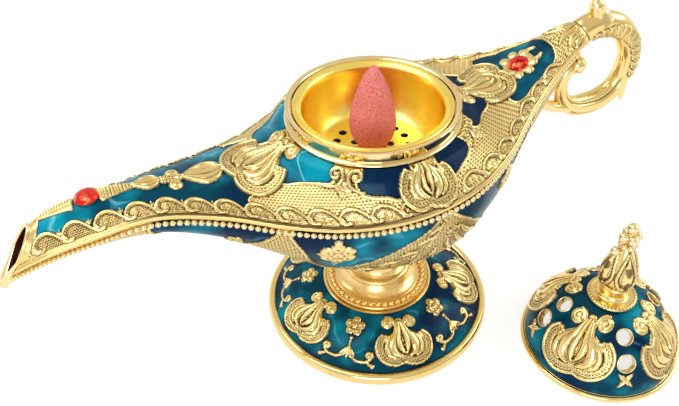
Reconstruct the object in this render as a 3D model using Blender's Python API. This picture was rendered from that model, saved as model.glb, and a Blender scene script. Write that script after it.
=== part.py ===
# Genie lamp incense burner: a footed oil-lamp body with a spout and a loop handle,
# a lift-out incense cup, an incense cone, and the pierced lid standing beside it.
# Metres, +Z up, +X towards the handle, origin at the centre of the foot's underside.
import math

import bmesh
import bpy
import numpy as np
from mathutils import Vector

MM = 0.001

# Clearances and walls
GAP = 0.3 * MM
WALL = 1.6 * MM
SCREW_CLEARANCE = 0.3 * MM

# Foot: a hollow domed disc with a rounded rim
FOOT_RADIUS = 38.0 * MM
FOOT_RIM_HEIGHT = 3.6 * MM
FOOT_RIM_WIDTH = 2.4 * MM
FOOT_DOME_RISE = 8.6 * MM
FOOT_DOME_POWER = 1.5
FOOT_LAND_RADIUS = 17.6 * MM
FOOT_RIM_LIFT = 0.4 * MM
FOOT_FIELD_DROP = 0.2 * MM

# Felt pad set into the underside of the foot
PAD_THICKNESS = 1.5 * MM
PAD_RIM_WALL = 3.1 * MM
PAD_LEDGE = 2.4 * MM

# Stem: bell, ring and neck in one turned casting
STEM_HEIGHT = 17.0 * MM
STEM_BELL_RADIUS = 17.3 * MM
STEM_BELL_RISE = 4.3 * MM
STEM_RING_RADIUS = 11.0 * MM
STEM_RING_HEIGHT = 2.2 * MM
STEM_NECK_RADIUS = 7.8 * MM
STEM_TOP_RADIUS = 9.0 * MM
STEM_FLARE_HEIGHT = 3.6 * MM

# Bolt that ties foot, stem and lower shell together
BOLT_RADIUS = 2.0 * MM
BOLT_HEAD_RADIUS = 3.8 * MM
BOLT_HEAD_HEIGHT = 2.8 * MM
WASHER_RADIUS = 5.0 * MM
WASHER_THICKNESS = 0.8 * MM
NUT_RADIUS = 4.0 * MM
NUT_HEIGHT = 3.2 * MM
BOLT_END_PROUD = 1.8 * MM

# Seat for the stem and the nut on the hull, below and above its wall
HULL_BOSS_HEIGHT = 0.4 * MM
NUT_BOSS_RADIUS = 6.0 * MM
NUT_BOSS_HEIGHT = 1.6 * MM

# Body rows: along the lamp, half width at the ridge, and the heights of the ridge,
# the crest and the keel above the lowest point of the hull, in millimetres
BODY_ROWS = [
    (-109.0, 1.6, 28.0, 30.5, 26.0),
    (-106.0, 3.8, 30.5, 37.0, 27.5),
    (-98.0, 6.2, 34.5, 42.5, 31.0),
    (-84.0, 7.8, 37.7, 46.2, 33.0),
    (-68.0, 9.6, 39.9, 45.6, 31.0),
    (-52.0, 14.5, 38.0, 43.8, 24.5),
    (-36.0, 22.3, 35.0, 45.2, 14.0),
    (-27.0, 27.2, 34.6, 48.4, 8.0),
    (-18.0, 31.3, 35.2, 54.2, 3.5),
    (0.0, 35.3, 37.5, 56.2, 0.0),
    (15.0, 33.3, 40.0, 51.2, 2.0),
    (28.0, 26.5, 42.5, 47.8, 9.5),
    (40.0, 17.5, 46.3, 50.2, 20.0),
    (50.0, 11.5, 50.0, 54.6, 31.0),
    (60.0, 7.0, 54.0, 60.0, 45.0),
    (65.0, 5.3, 56.0, 61.5, 52.0),
]
BODY_STEPS = 31
DOME_POWER = 0.8
HULL_POWER = 0.9
DOME_POINTS = 13
HULL_POINTS = 13
LINING_POINTS = 9
RIDGE_BAND_DEPTH = 0.9 * MM
RIDGE_BAND_HEIGHT = 2.2 * MM
BEAD_STRIP_DEPTH = 1.3 * MM
BEAD_STRIP_HEIGHT = 2.1 * MM
THIN_END_SHARE = 0.3

# Slanted cut across the end of the spout
MOUTH_TOP = (-99.0 * MM, 41.5 * MM)
MOUTH_TIP = (-108.6 * MM, 27.0 * MM)
MOUTH_CUT_REACH = 30.0 * MM

# Collar around the bowl
COLLAR_X = -2.3 * MM
COLLAR_RADIUS = 24.85 * MM
COLLAR_SEAT = 48.5 * MM
SEAT_ALLOWANCE = 0.2 * MM
COLLAR_HEIGHT = 4.3 * MM
COLLAR_FLANGE_PROUD = 0.45 * MM
COLLAR_LIP_WIDTH = 1.5 * MM
COLLAR_LEDGE_WIDTH = 1.45 * MM
COLLAR_SLEEVE_DEPTH = 5.0 * MM
COLLAR_SLEEVE_WALL = 1.4 * MM
COLLAR_STEP_DEPTH = 2.0 * MM
SHOULDER_WIDTH = 5.5 * MM
SEAT_CUT_REACH = 15.0 * MM

# Incense cup hanging in the collar by its flange
CUP_FLANGE_RISE = 1.4 * MM
CUP_DEPTH = 13.8 * MM
CUP_FLOOR_RADIUS = 15.0 * MM
CUP_WALL = 1.0 * MM
CUP_HOLE_RADIUS = 1.2 * MM
CUP_RINGS = [(10.7 * MM, 15, math.radians(1.0)), (5.3 * MM, 9, math.radians(-19.0))]
CUP_HOLE_SIDES = 8

# Incense cone standing on the cup's floor
CONE_HEIGHT = 26.6 * MM
CONE_RADIUS = 6.75 * MM
CONE_BASE_RADIUS = 3.6 * MM
CONE_BELLY = 0.27
CONE_TAPER = 1.35
CONE_TIP_ROUNDING = 0.75

# Round gems in bezels on the spout and the tail: place along the lamp and radius
GEM_SPOUT = (-83.0 * MM, 3.4 * MM)
GEM_TAIL = (45.5 * MM, 2.9 * MM)
GEM_SIDES = 10
GEM_HEIGHT = 2.2 * MM
BEZEL_WALL = 0.7 * MM
BEZEL_HEIGHT = 0.4 * MM
BEZEL_ROOT = 2.8 * MM
GEM_SINK = 0.9 * MM

# Handle: centre line in the lamp's middle plane (x, height above the hull's lowest
# point, radius), in millimetres, from the tail's end round to the scroll's ball
HANDLE_ROUTE = [
    (65.3, 56.9, 4.6),
    (68.8, 59.2, 4.3),
    (74.6, 59.6, 4.2),
    (80.6, 57.2, 4.5),
    (85.4, 52.4, 4.7),
    (87.8, 46.0, 4.7),
    (87.4, 39.4, 4.6),
    (85.0, 34.2, 4.4),
    (80.6, 31.2, 4.3),
    (75.8, 30.4, 4.1),
    (71.2, 31.2, 3.7),
    (67.6, 34.0, 3.0),
    (65.8, 38.2, 2.4),
    (66.0, 42.4, 2.1),
    (67.8, 45.4, 2.0),
]
HANDLE_BALL = (70.4, 46.6, 2.9)
HANDLE_DEPTH_SHARE = 0.86
HANDLE_SIDES = 10
HANDLE_STEPS = 32
HANDLE_STRUT = [(69.0, 31.6, 2.3), (62.0, 33.0, 2.0), (53.0, 39.0, 1.9)]
HANDLE_TENON = [(66.5, 57.3), (60.5, 54.2)]
TENON_RADIUS = 2.2 * MM
BARBS = [((73.2, 60.4), (70.6, 68.2), 3.2), ((76.6, 60.2), (75.8, 66.2), 2.1),
         ((87.2, 34.6), (91.0, 27.0), 2.6), ((83.8, 31.6), (87.2, 26.8), 1.9)]

# Lid: pierced dome, placed clear of the foot
LID_RADIUS = 25.05 * MM
LID_HEIGHT = 22.3 * MM
LID_RIM_HEIGHT = 1.6 * MM
LID_RIM_WIDTH = 1.35 * MM
LID_TOP_RADIUS = 6.9 * MM
LID_SIDE_POWER = 1.1
LID_RISE_POWER = 1.3
LID_WALL = 1.4 * MM
LID_SKIRT_DEPTH = 1.0 * MM
LID_SKIRT_CLEARANCE = 0.5 * MM
LID_SKIRT_WALL = 1.4 * MM
LID_DISTANCE = 12.3 * MM
LID_BEARING = math.radians(-39.4)
LID_HOLE_BEARINGS = [math.radians(angle) for angle in (70.0, 160.0, 250.0, 340.0)]
LID_HOLES = [(19.6 * MM, 2.6 * MM), (14.2 * MM, 2.3 * MM)]
LID_HOLE_SIDES = 12

# Raised palmette, from its rounded end to its two scrolls, in shares of its width and length
PALMETTE_OUTLINE = [
    (0.0, 0.0), (0.26, 0.04), (0.44, 0.2), (0.5, 0.42), (0.4, 0.62), (0.24, 0.74), (0.28, 0.9),
    (0.13, 1.0), (0.0, 0.88), (-0.13, 1.0), (-0.28, 0.9), (-0.24, 0.74), (-0.4, 0.62), (-0.5, 0.42),
    (-0.44, 0.2), (-0.26, 0.04),
]
BUD_OUTLINE = [
    (0.0, 0.0), (0.32, 0.2), (0.5, 0.5), (0.3, 0.82), (0.0, 1.0), (-0.3, 0.82), (-0.5, 0.5), (-0.32, 0.2),
]
RELIEF_ROOT = 1.1 * MM
RELIEF_EDGE_SHARE = 0.5
RELIEF_CROWN_SHARE = 0.62
SKIN_SEARCH = 8.0 * MM

# Ornaments on the upper shell: middle (x, y), heading of the scrolls, length and width;
# the flank's palmette is repeated on the other side
SHELL_PALMETTE_HEIGHT = 1.3 * MM
SHELL_PALMETTES = [
    ((-38.2 * MM, -3.2 * MM), math.radians(0.0), 17.0 * MM, 17.0 * MM),
    ((36.2 * MM, -0.6 * MM), math.radians(174.0), 15.4 * MM, 17.0 * MM),
    ((-1.2 * MM, -31.2 * MM), math.radians(82.0), 12.0 * MM, 14.4 * MM),
    ((-1.2 * MM, 31.2 * MM), math.radians(-82.0), 12.0 * MM, 14.4 * MM),
]
SHELL_BUD_HEIGHT = 0.8 * MM
SHELL_BUDS = [
    ((-70.2 * MM, 0.0), math.radians(0.0), 10.0 * MM, 5.4 * MM),
    ((-52.8 * MM, 0.0), math.radians(0.0), 11.0 * MM, 9.4 * MM),
]

# Palmettes around the foot and around the lid
FOOT_PALMETTE_BEARINGS = [math.radians(263.0 + 72.0 * step) for step in range(5)]
FOOT_PALMETTE_MARGIN = 1.6 * MM
FOOT_PALMETTE_CLEARANCE = 3.9 * MM
FOOT_PALMETTE_WIDTH = 15.6 * MM
FOOT_PALMETTE_HEIGHT = 1.2 * MM
LID_PALMETTE_BEARINGS = [math.radians(angle) for angle in (205.0, 295.0, 25.0, 115.0)]
LID_PALMETTE_RING = 16.6 * MM
LID_PALMETTE_LENGTH = 17.5 * MM
LID_PALMETTE_WIDTH = 17.0 * MM
LID_PALMETTE_HEIGHT = 1.3 * MM

# Finial screwed to the lid
FINIAL_FLANGE_RADIUS = 7.6 * MM
FINIAL_FLANGE_HEIGHT = 1.3 * MM
FINIAL_NECK_RADIUS = 3.9 * MM
FINIAL_NECK_HEIGHT = 2.9 * MM
FINIAL_BULB_RADIUS = 5.3 * MM
FINIAL_BULB_HEIGHT = 16.5 * MM
FINIAL_TIP_RADIUS = 1.9 * MM
FINIAL_STALK_RADIUS = 1.4 * MM
FINIAL_CROWN_HEIGHT = 9.6 * MM
FINIAL_BALL_RADIUS = 2.1 * MM
FINIAL_BEARING = math.radians(-15.0)
FINIAL_SCREW_RADIUS = 1.5 * MM
FINIAL_SCREW_DEPTH = 7.0 * MM
FINIAL_HEAD_RADIUS = 3.0 * MM
FINIAL_HEAD_HEIGHT = 1.6 * MM

# Facets of turned pieces, and how far a hole's cutter stands out of its wall
ROUND_SIDES = 36
SMALL_SIDES = 20
CUTTER_REACH = 3.0 * MM

# Heights that stack up from the foot
FOOT_FIELD_RADIUS = FOOT_RADIUS - FOOT_RIM_WIDTH
FOOT_FIELD_Z = FOOT_RIM_HEIGHT - FOOT_FIELD_DROP
FOOT_LAND_Z = FOOT_FIELD_Z + FOOT_DOME_RISE
STEM_Z = FOOT_LAND_Z + GAP
HULL_BOSS_Z = STEM_Z + STEM_HEIGHT + GAP
BODY_Z = HULL_BOSS_Z + HULL_BOSS_HEIGHT
NUT_SEAT_Z = BODY_Z + WALL + NUT_BOSS_HEIGHT
COLLAR_Z = BODY_Z + COLLAR_SEAT + GAP
COLLAR_TOP_Z = COLLAR_Z + COLLAR_HEIGHT
CUP_LEDGE_Z = COLLAR_TOP_Z - COLLAR_STEP_DEPTH
COLLAR_LIP_RADIUS = COLLAR_RADIUS - COLLAR_LIP_WIDTH
COLLAR_BORE = COLLAR_LIP_RADIUS - COLLAR_LEDGE_WIDTH
CUP_FLANGE_RADIUS = COLLAR_LIP_RADIUS - GAP
CUP_MOUTH_RADIUS = COLLAR_BORE - 2.0 * GAP - CUP_WALL
CUP_FLOOR_Z = CUP_LEDGE_Z + GAP - CUP_DEPTH
COLLAR_SLEEVE_RADIUS = COLLAR_BORE + COLLAR_SLEEVE_WALL
BODY_HOLE_RADIUS = COLLAR_SLEEVE_RADIUS + GAP
BOLT_HOLE_RADIUS = BOLT_RADIUS + SCREW_CLEARANCE
LID_SPAN = FOOT_RADIUS + LID_RADIUS + LID_DISTANCE
LID_PLACE = (LID_SPAN * math.cos(LID_BEARING), LID_SPAN * math.sin(LID_BEARING), 0.0)
LID_SKIRT_RADIUS = CUP_MOUTH_RADIUS - LID_SKIRT_CLEARANCE


def clear_scene():
    for item in list(bpy.data.objects):
        bpy.data.objects.remove(item, do_unlink=True)


def material(name, colour, roughness, metallic):
    surface = bpy.data.materials.new(name)
    surface.use_nodes = True
    shader = surface.node_tree.nodes["Principled BSDF"]
    shader.inputs["Base Color"].default_value = (*colour, 1.0)
    shader.inputs["Roughness"].default_value = roughness
    shader.inputs["Metallic"].default_value = metallic
    surface.diffuse_color = (*colour, 1.0)
    return surface


def solid(name, verts, faces, surface=None, location=(0.0, 0.0, 0.0), sharp=35.0):
    """A mesh object whose faces point out of the solid."""
    mesh = bpy.data.meshes.new(name)
    form = bmesh.new()
    points = [form.verts.new(point) for point in verts]
    for face in faces:
        form.faces.new([points[i] for i in face])
    bmesh.ops.recalc_face_normals(form, faces=form.faces)
    if form.calc_volume(signed=True) < 0.0:
        bmesh.ops.reverse_faces(form, faces=form.faces)
    form.to_mesh(mesh)
    form.free()
    mesh.shade_smooth()
    mesh.set_sharp_from_angle(angle=math.radians(sharp))
    item = bpy.data.objects.new(name, mesh)
    item.location = location
    bpy.context.scene.collection.objects.link(item)
    if surface is not None:
        mesh.materials.append(surface)
    return item


def helper(item):
    """A cutter or a piece to be joined: seen as a wire, left out of the part."""
    item.hide_render = True
    item.display_type = "WIRE"
    return item


def combine(target, other, operation):
    change = target.modifiers.new(operation.lower(), "BOOLEAN")
    change.operation = operation
    change.solver = "EXACT"
    change.object = helper(other)


def turned(profile, sides):
    """Vertices and faces of a closed profile of (radius, z) turned about Z."""
    verts = []
    rows = []
    for radius, z in profile:
        if radius < 1e-7:
            verts.append((0.0, 0.0, z))
            rows.append([len(verts) - 1] * sides)
            continue
        row = []
        for step in range(sides):
            angle = 2.0 * math.pi * step / sides
            row.append(len(verts))
            verts.append((radius * math.cos(angle), radius * math.sin(angle), z))
        rows.append(row)
    faces = []
    for low, high in zip(rows, rows[1:] + rows[:1]):
        for step in range(sides):
            after = (step + 1) % sides
            corners = [low[step], low[after], high[after], high[step]]
            face = list(dict.fromkeys(corners))
            if len(face) > 2:
                faces.append(face)
    return verts, faces


def lofted(rings, cap):
    """Vertices and faces through closed rings; cap gives a ring's end faces."""
    count = len(rings[0])
    verts = [tuple(point) for ring in rings for point in ring]
    faces = []
    for row in range(len(rings) - 1):
        for step in range(count):
            after = (step + 1) % count
            low = row * count
            high = low + count
            faces.append([low + step, low + after, high + after, high + step])
    last = (len(rings) - 1) * count
    faces += [list(face) for face in cap]
    faces += [[last + i for i in face] for face in cap]
    return verts, faces


def fan_cap(count):
    return [list(range(count))]


def smooth_rows(rows, places):
    """Cubic curves through rows of (place, value, value, ...), read at places."""
    table = np.array(rows, dtype=float)
    knots = table[:, 0]
    values = table[:, 1:]
    spans = np.diff(knots)[:, None]
    slopes = np.diff(values, axis=0) / spans
    tangents = np.empty_like(values)
    tangents[0] = slopes[0]
    tangents[-1] = slopes[-1]
    tangents[1:-1] = slopes[:-1] * spans[1:] + slopes[1:] * spans[:-1]
    tangents[1:-1] /= spans[:-1] + spans[1:]
    places = np.asarray(places, dtype=float)
    index = np.clip(np.searchsorted(knots, places) - 1, 0, len(knots) - 2)
    step = spans[index]
    t = (places - knots[index])[:, None] / step
    return ((2 * t**3 - 3 * t**2 + 1) * values[index]
            + (t**3 - 2 * t**2 + t) * step * tangents[index]
            + (3 * t**2 - 2 * t**3) * values[index + 1]
            + (t**3 - t**2) * step * tangents[index + 1])


def smooth_route(points, steps):
    """A smooth route through points of any width, evenly spread along its length."""
    points = np.array(points, dtype=float)
    lengths = np.linalg.norm(np.diff(points[:, :2], axis=0), axis=1)
    travel = np.concatenate([[0.0], np.cumsum(lengths)])
    rows = np.column_stack([travel, points])
    return smooth_rows(rows, np.linspace(0.0, travel[-1], steps))


def body_row(x):
    """Half width, ridge, crest and keel heights at one place along the lamp."""
    half, ridge, crest, keel = smooth_rows(BODY_ROWS, [x / MM])[0] * MM
    return half, ridge + BODY_Z, crest + BODY_Z, keel + BODY_Z


def shoulder(x, y, z, inset):
    """The dome levels off where the collar sits on it, with metal left to cut its seat."""
    height = BODY_Z + COLLAR_SEAT + SEAT_ALLOWANCE - inset
    reach = math.hypot(x - COLLAR_X, y)
    inside = COLLAR_RADIUS + COLLAR_FLANGE_PROUD
    t = min(max((inside + SHOULDER_WIDTH - reach) / SHOULDER_WIDTH, 0.0), 1.0)
    t = t * t * (3.0 - 2.0 * t)
    return z * (1.0 - t) + height * t


def end_scale(half):
    """The ridge's band and beads shrink where the body is narrower than they are."""
    return min(1.0, THIN_END_SHARE * half / RIDGE_BAND_DEPTH)


def dome_point(x, share, inset=0.0):
    """A point on the upper shell's skin, or inset below it; share is -1 to 1."""
    half, ridge, crest, keel = body_row(x)
    scale = end_scale(half)
    spring = ridge + RIDGE_BAND_HEIGHT * scale
    width = half - RIDGE_BAND_DEPTH * scale - inset
    fall = (1.0 - share * share) ** DOME_POWER
    y = share * width
    z = spring + (crest - inset - spring) * fall
    return x, y, shoulder(x, y, z, inset)


def hull_point(x, share, inset=0.0):
    """A point on the lower shell's skin, or inset above it; share is -1 to 1."""
    half, ridge, crest, keel = body_row(x)
    scale = end_scale(half)
    spring = ridge - BEAD_STRIP_HEIGHT * scale
    angle = share * math.pi / 2.0
    width = half - BEAD_STRIP_DEPTH * scale - inset
    fall = max(math.cos(angle), 0.0) ** HULL_POWER
    return x, math.sin(angle) * width, spring - (spring - keel - inset) * fall


def half_ring(x, edge, skin, points, depth, height, facing):
    """Closed ring of one half shell: band at the ridge, skin, and the wall inside."""
    half, ridge, crest, keel = body_row(x)
    scale = end_scale(half)
    wall = min(WALL, THIN_END_SHARE * half)
    seam = ridge + facing * GAP / 2.0
    outer = []
    for inward, rise in edge:
        outer.append((x, half - inward * depth * scale, seam + facing * rise * height * scale))
    outer += [skin(x, share) for share in np.linspace(1.0, -1.0, points)[1:-1]]
    for inward, rise in reversed(edge):
        outer.append((x, inward * depth * scale - half, seam + facing * rise * height * scale))
    lining_half = half - depth * scale - wall
    inner = [(x, -lining_half, seam)]
    inner += [skin(x, share, wall) for share in np.linspace(-1.0, 1.0, LINING_POINTS)]
    inner.append((x, lining_half, seam))
    return outer + inner


def half_shell(name, edge, skin, points, depth, height, facing, surface):
    """One cast half of the body, lofted along the lamp."""
    places = np.linspace(BODY_ROWS[0][0], BODY_ROWS[-1][0], BODY_STEPS) * MM
    rings = [half_ring(x, edge, skin, points, depth, height, facing) for x in places]
    verts, faces = lofted(rings, fan_cap(len(rings[0])))
    return solid(name, verts, faces, surface)


def disc(name, radius, bottom, top, sides, location=(0.0, 0.0, 0.0)):
    profile = [(0.0, bottom), (radius, bottom), (radius, top), (0.0, top)]
    verts, faces = turned(profile, sides)
    return solid(name, verts, faces, location=location)


def on_skin(point, normal, height_at):
    """The place where a line through a point, along a normal, meets the skin."""
    low = -SKIN_SEARCH
    high = SKIN_SEARCH
    for step in range(30):
        middle = (low + high) / 2.0
        place = point + normal * middle
        if place.z > height_at(place.x, place.y):
            high = middle
        else:
            low = middle
    return point + normal * high


def raised_ornament(name, outline, height_at, place, heading, length, width, rise):
    """A low domed plate that follows the skin, rooted below it, to be joined to a casting."""
    x, y = place
    origin = Vector((x, y, height_at(x, y)))
    step = 0.5 * MM
    slope_x = (height_at(x + step, y) - height_at(x - step, y)) / (2.0 * step)
    slope_y = (height_at(x, y + step) - height_at(x, y - step)) / (2.0 * step)
    normal = Vector((-slope_x, -slope_y, 1.0)).normalized()
    ahead = Vector((math.cos(heading), math.sin(heading), 0.0))
    ahead.z = slope_x * ahead.x + slope_y * ahead.y
    ahead.normalize()
    right = ahead.cross(normal)
    rings = []
    levels = [(RELIEF_CROWN_SHARE, -RELIEF_ROOT), (1.0, -RELIEF_ROOT), (1.0, RELIEF_EDGE_SHARE * rise),
              (RELIEF_CROWN_SHARE, rise)]
    for scale, lift in levels:
        ring = []
        for across, along in outline:
            point = origin + right * (across * width * scale) + ahead * ((along - 0.5) * length * scale)
            ring.append(on_skin(point, normal, height_at) + normal * lift)
        rings.append(ring)
    count = len(outline)
    verts, faces = lofted(rings, [])
    for start, lift in ((0, -RELIEF_ROOT), (3 * count, rise)):
        verts.append(tuple(on_skin(origin, normal, height_at) + normal * lift))
        hub = len(verts) - 1
        faces += [[start + step, start + (step + 1) % count, hub] for step in range(count)]
    return solid(name, verts, faces)


def foot_field(radius):
    """Height of the foot's domed field."""
    share = (FOOT_FIELD_RADIUS - radius) / (FOOT_FIELD_RADIUS - FOOT_LAND_RADIUS)
    return FOOT_FIELD_Z + FOOT_DOME_RISE * (1.0 - (1.0 - min(share, 1.0)) ** FOOT_DOME_POWER)


def add_foot_palmettes(foot):
    outer = FOOT_FIELD_RADIUS - FOOT_PALMETTE_MARGIN
    inner = FOOT_LAND_RADIUS + FOOT_PALMETTE_CLEARANCE
    middle = (outer + inner) / 2.0
    length = math.hypot(outer - inner, foot_field(inner) - foot_field(outer))
    for index, bearing in enumerate(FOOT_PALMETTE_BEARINGS):
        place = (middle * math.cos(bearing), middle * math.sin(bearing))
        plate = raised_ornament(f"foot_palmette_{index + 1}", PALMETTE_OUTLINE,
                                lambda x, y: foot_field(math.hypot(x, y)), place, bearing + math.pi,
                                length, FOOT_PALMETTE_WIDTH, FOOT_PALMETTE_HEIGHT)
        combine(foot, plate, "UNION")


def make_foot(surface):
    pad_edge = FOOT_RADIUS - PAD_RIM_WALL
    ledge_edge = pad_edge - PAD_LEDGE
    ledge_z = PAD_THICKNESS + GAP
    profile = [(BOLT_HOLE_RADIUS, FOOT_LAND_Z - WALL)]
    under = np.linspace(FOOT_LAND_RADIUS - WALL, ledge_edge, 4)
    profile += [(radius, foot_field(radius) - WALL) for radius in under]
    profile += [(ledge_edge, ledge_z), (pad_edge, ledge_z), (pad_edge, FOOT_RIM_LIFT)]
    profile += [(FOOT_RADIUS - 0.7 * MM, FOOT_RIM_LIFT), (FOOT_RADIUS, FOOT_RIM_LIFT + 0.8 * MM)]
    profile += [(FOOT_RADIUS, FOOT_RIM_HEIGHT - 1.3 * MM)]
    profile += [(FOOT_RADIUS - 0.5 * MM, FOOT_RIM_HEIGHT - 0.3 * MM)]
    profile += [(FOOT_RADIUS - 1.2 * MM, FOOT_RIM_HEIGHT)]
    profile += [(FOOT_RADIUS - 1.9 * MM, FOOT_RIM_HEIGHT - 0.2 * MM)]
    across = np.linspace(FOOT_FIELD_RADIUS, FOOT_LAND_RADIUS, 8)
    profile += [(radius, foot_field(radius)) for radius in across]
    profile += [(BOLT_HOLE_RADIUS, FOOT_LAND_Z)]
    verts, faces = turned(profile, ROUND_SIDES)
    foot = solid("foot", verts, faces, surface)
    add_foot_palmettes(foot)
    return foot


def make_pad(surface):
    radius = FOOT_RADIUS - PAD_RIM_WALL - GAP
    profile = [(0.0, 0.0), (radius, 0.0), (radius, PAD_THICKNESS), (0.0, PAD_THICKNESS)]
    verts, faces = turned(profile, ROUND_SIDES)
    return solid("base_pad", verts, faces, surface)


def make_stem(surface):
    bell_top = STEM_BELL_RISE
    ring_in = STEM_RING_RADIUS - 0.7 * MM
    ring_top = bell_top + STEM_RING_HEIGHT
    lip = 0.8 * MM
    bead_in = STEM_BELL_RADIUS - 2.9 * MM
    profile = [(BOLT_HOLE_RADIUS, 0.0), (STEM_BELL_RADIUS - 0.3 * MM, 0.0), (STEM_BELL_RADIUS, 0.4 * MM)]
    profile += [(STEM_BELL_RADIUS - 0.4 * MM, lip), (bead_in, lip)]
    for t in np.linspace(0.2, 1.0, 5):
        sweep = t * math.pi / 2.0
        radius = ring_in + (bead_in - ring_in) * (1.0 - math.sin(sweep))
        profile.append((radius, lip + (bell_top - lip) * (1.0 - math.cos(sweep))))
    profile += [(STEM_RING_RADIUS - 0.2 * MM, bell_top + 0.3 * MM), (STEM_RING_RADIUS, bell_top + 1.0 * MM)]
    profile += [(STEM_RING_RADIUS - 0.3 * MM, bell_top + 1.7 * MM), (STEM_RING_RADIUS - 1.3 * MM, ring_top)]
    profile += [(STEM_NECK_RADIUS + 0.5 * MM, ring_top + 1.0 * MM), (STEM_NECK_RADIUS, ring_top + 3.0 * MM)]
    profile += [(STEM_NECK_RADIUS, STEM_HEIGHT - STEM_FLARE_HEIGHT)]
    profile += [(STEM_TOP_RADIUS - 0.3 * MM, STEM_HEIGHT - 1.2 * MM)]
    profile += [(STEM_TOP_RADIUS, STEM_HEIGHT), (BOLT_HOLE_RADIUS, STEM_HEIGHT)]
    verts, faces = turned(profile, ROUND_SIDES)
    return solid("stem", verts, faces, surface, location=(0.0, 0.0, STEM_Z))


def make_fasteners(steel):
    washer_top = FOOT_LAND_Z - WALL - GAP
    washer_bottom = washer_top - WASHER_THICKNESS
    ring = [(BOLT_HOLE_RADIUS, washer_bottom), (WASHER_RADIUS, washer_bottom),
            (WASHER_RADIUS, washer_top), (BOLT_HOLE_RADIUS, washer_top)]
    verts, faces = turned(ring, SMALL_SIDES)
    solid("bolt_washer", verts, faces, steel)
    head_top = washer_bottom - GAP
    nut_bottom = NUT_SEAT_Z + GAP
    bolt_end = nut_bottom + NUT_HEIGHT + BOLT_END_PROUD
    head_bottom = head_top - BOLT_HEAD_HEIGHT
    verts, faces = turned([(0.0, head_bottom), (BOLT_HEAD_RADIUS - 0.7 * MM, head_bottom),
                           (BOLT_HEAD_RADIUS, head_bottom + 0.7 * MM), (BOLT_HEAD_RADIUS, head_top),
                           (BOLT_RADIUS, head_top), (BOLT_RADIUS, bolt_end - 0.4 * MM),
                           (BOLT_RADIUS - 0.4 * MM, bolt_end), (0.0, bolt_end)], SMALL_SIDES)
    bolt = solid("stem_bolt", verts, faces, steel)
    slot = box("bolt_slot", (2.4 * BOLT_HEAD_RADIUS, 1.0 * MM, 2.0 * MM), (0.0, 0.0, head_bottom))
    combine(bolt, slot, "DIFFERENCE")
    make_nut(steel, nut_bottom)


def make_nut(steel, bottom):
    """Hexagonal nut with a round bore, built as rings of six-fold sides."""
    sides = 24
    top = bottom + NUT_HEIGHT
    verts = []
    for z in (bottom, top):
        for step in range(sides):
            angle = 2.0 * math.pi * step / sides
            flat = math.cos(math.pi / 6.0) / math.cos((angle % (math.pi / 3.0)) - math.pi / 6.0)
            verts.append((NUT_RADIUS * flat * math.cos(angle), NUT_RADIUS * flat * math.sin(angle), z))
        for step in range(sides):
            angle = 2.0 * math.pi * step / sides
            verts.append((BOLT_HOLE_RADIUS * math.cos(angle), BOLT_HOLE_RADIUS * math.sin(angle), z))
    faces = []
    low_out, low_in, high_out, high_in = 0, sides, 2 * sides, 3 * sides
    for start, end in ((low_out, high_out), (high_out, high_in), (high_in, low_in), (low_in, low_out)):
        for step in range(sides):
            after = (step + 1) % sides
            faces.append([start + step, start + after, end + after, end + step])
    solid("stem_nut", verts, faces, steel)


def box(name, size, centre):
    half = [extent / 2.0 for extent in size]
    verts = [(centre[0] + sx * half[0], centre[1] + sy * half[1], centre[2] + sz * half[2])
             for sx in (-1, 1) for sy in (-1, 1) for sz in (-1, 1)]
    faces = [[0, 1, 3, 2], [4, 5, 7, 6], [0, 1, 5, 4], [2, 3, 7, 6], [0, 2, 6, 4], [1, 3, 7, 5]]
    return solid(name, verts, faces)


def mouth_cutter(name):
    """Block on the spout side of the slanted plane through the mouth."""
    top = Vector((MOUTH_TOP[0], 0.0, MOUTH_TOP[1] + BODY_Z))
    tip = Vector((MOUTH_TIP[0], 0.0, MOUTH_TIP[1] + BODY_Z))
    along = (top - tip).normalized()
    away = Vector((-along.z, 0.0, along.x))
    side = Vector((0.0, MOUTH_CUT_REACH, 0.0))
    low = tip - along * MOUTH_CUT_REACH
    high = top + along * MOUTH_CUT_REACH
    corners = [low, high, high + away * MOUTH_CUT_REACH, low + away * MOUTH_CUT_REACH]
    verts = [tuple(corner - side) for corner in corners] + [tuple(corner + side) for corner in corners]
    faces = [[0, 1, 2, 3], [4, 5, 6, 7], [0, 1, 5, 4], [1, 2, 6, 5], [2, 3, 7, 6], [3, 0, 4, 7]]
    return solid(name, verts, faces)


def crest_frame(x):
    """Point on the crest and the tilt of the surface there, in the middle plane."""
    step = 1.0 * MM
    ahead = dome_point(x + step, 0.0)
    behind = dome_point(x - step, 0.0)
    point = dome_point(x, 0.0)
    tilt = math.atan2(ahead[2] - behind[2], 2.0 * step)
    return point, tilt


def seat_on_crest(item, x):
    point, tilt = crest_frame(x)
    item.location = point
    item.rotation_euler = (0.0, -tilt, 0.0)


def make_bezel(name, place, radius):
    outer = radius + GAP + BEZEL_WALL
    profile = [(0.0, -BEZEL_ROOT), (outer, -BEZEL_ROOT), (outer, BEZEL_HEIGHT), (0.0, BEZEL_HEIGHT)]
    verts, faces = turned(profile, SMALL_SIDES)
    bezel = solid(name, verts, faces)
    seat_on_crest(bezel, place)
    return bezel


def make_gem_pocket(name, place, radius):
    """Cutter for the round pocket that a gem is glued into."""
    verts, faces = turned([(0.0, -GEM_SINK), (radius + GAP, -GEM_SINK),
                           (radius + GAP, CUTTER_REACH), (0.0, CUTTER_REACH)], SMALL_SIDES)
    pocket = solid(name, verts, faces)
    seat_on_crest(pocket, place)
    return pocket


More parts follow.
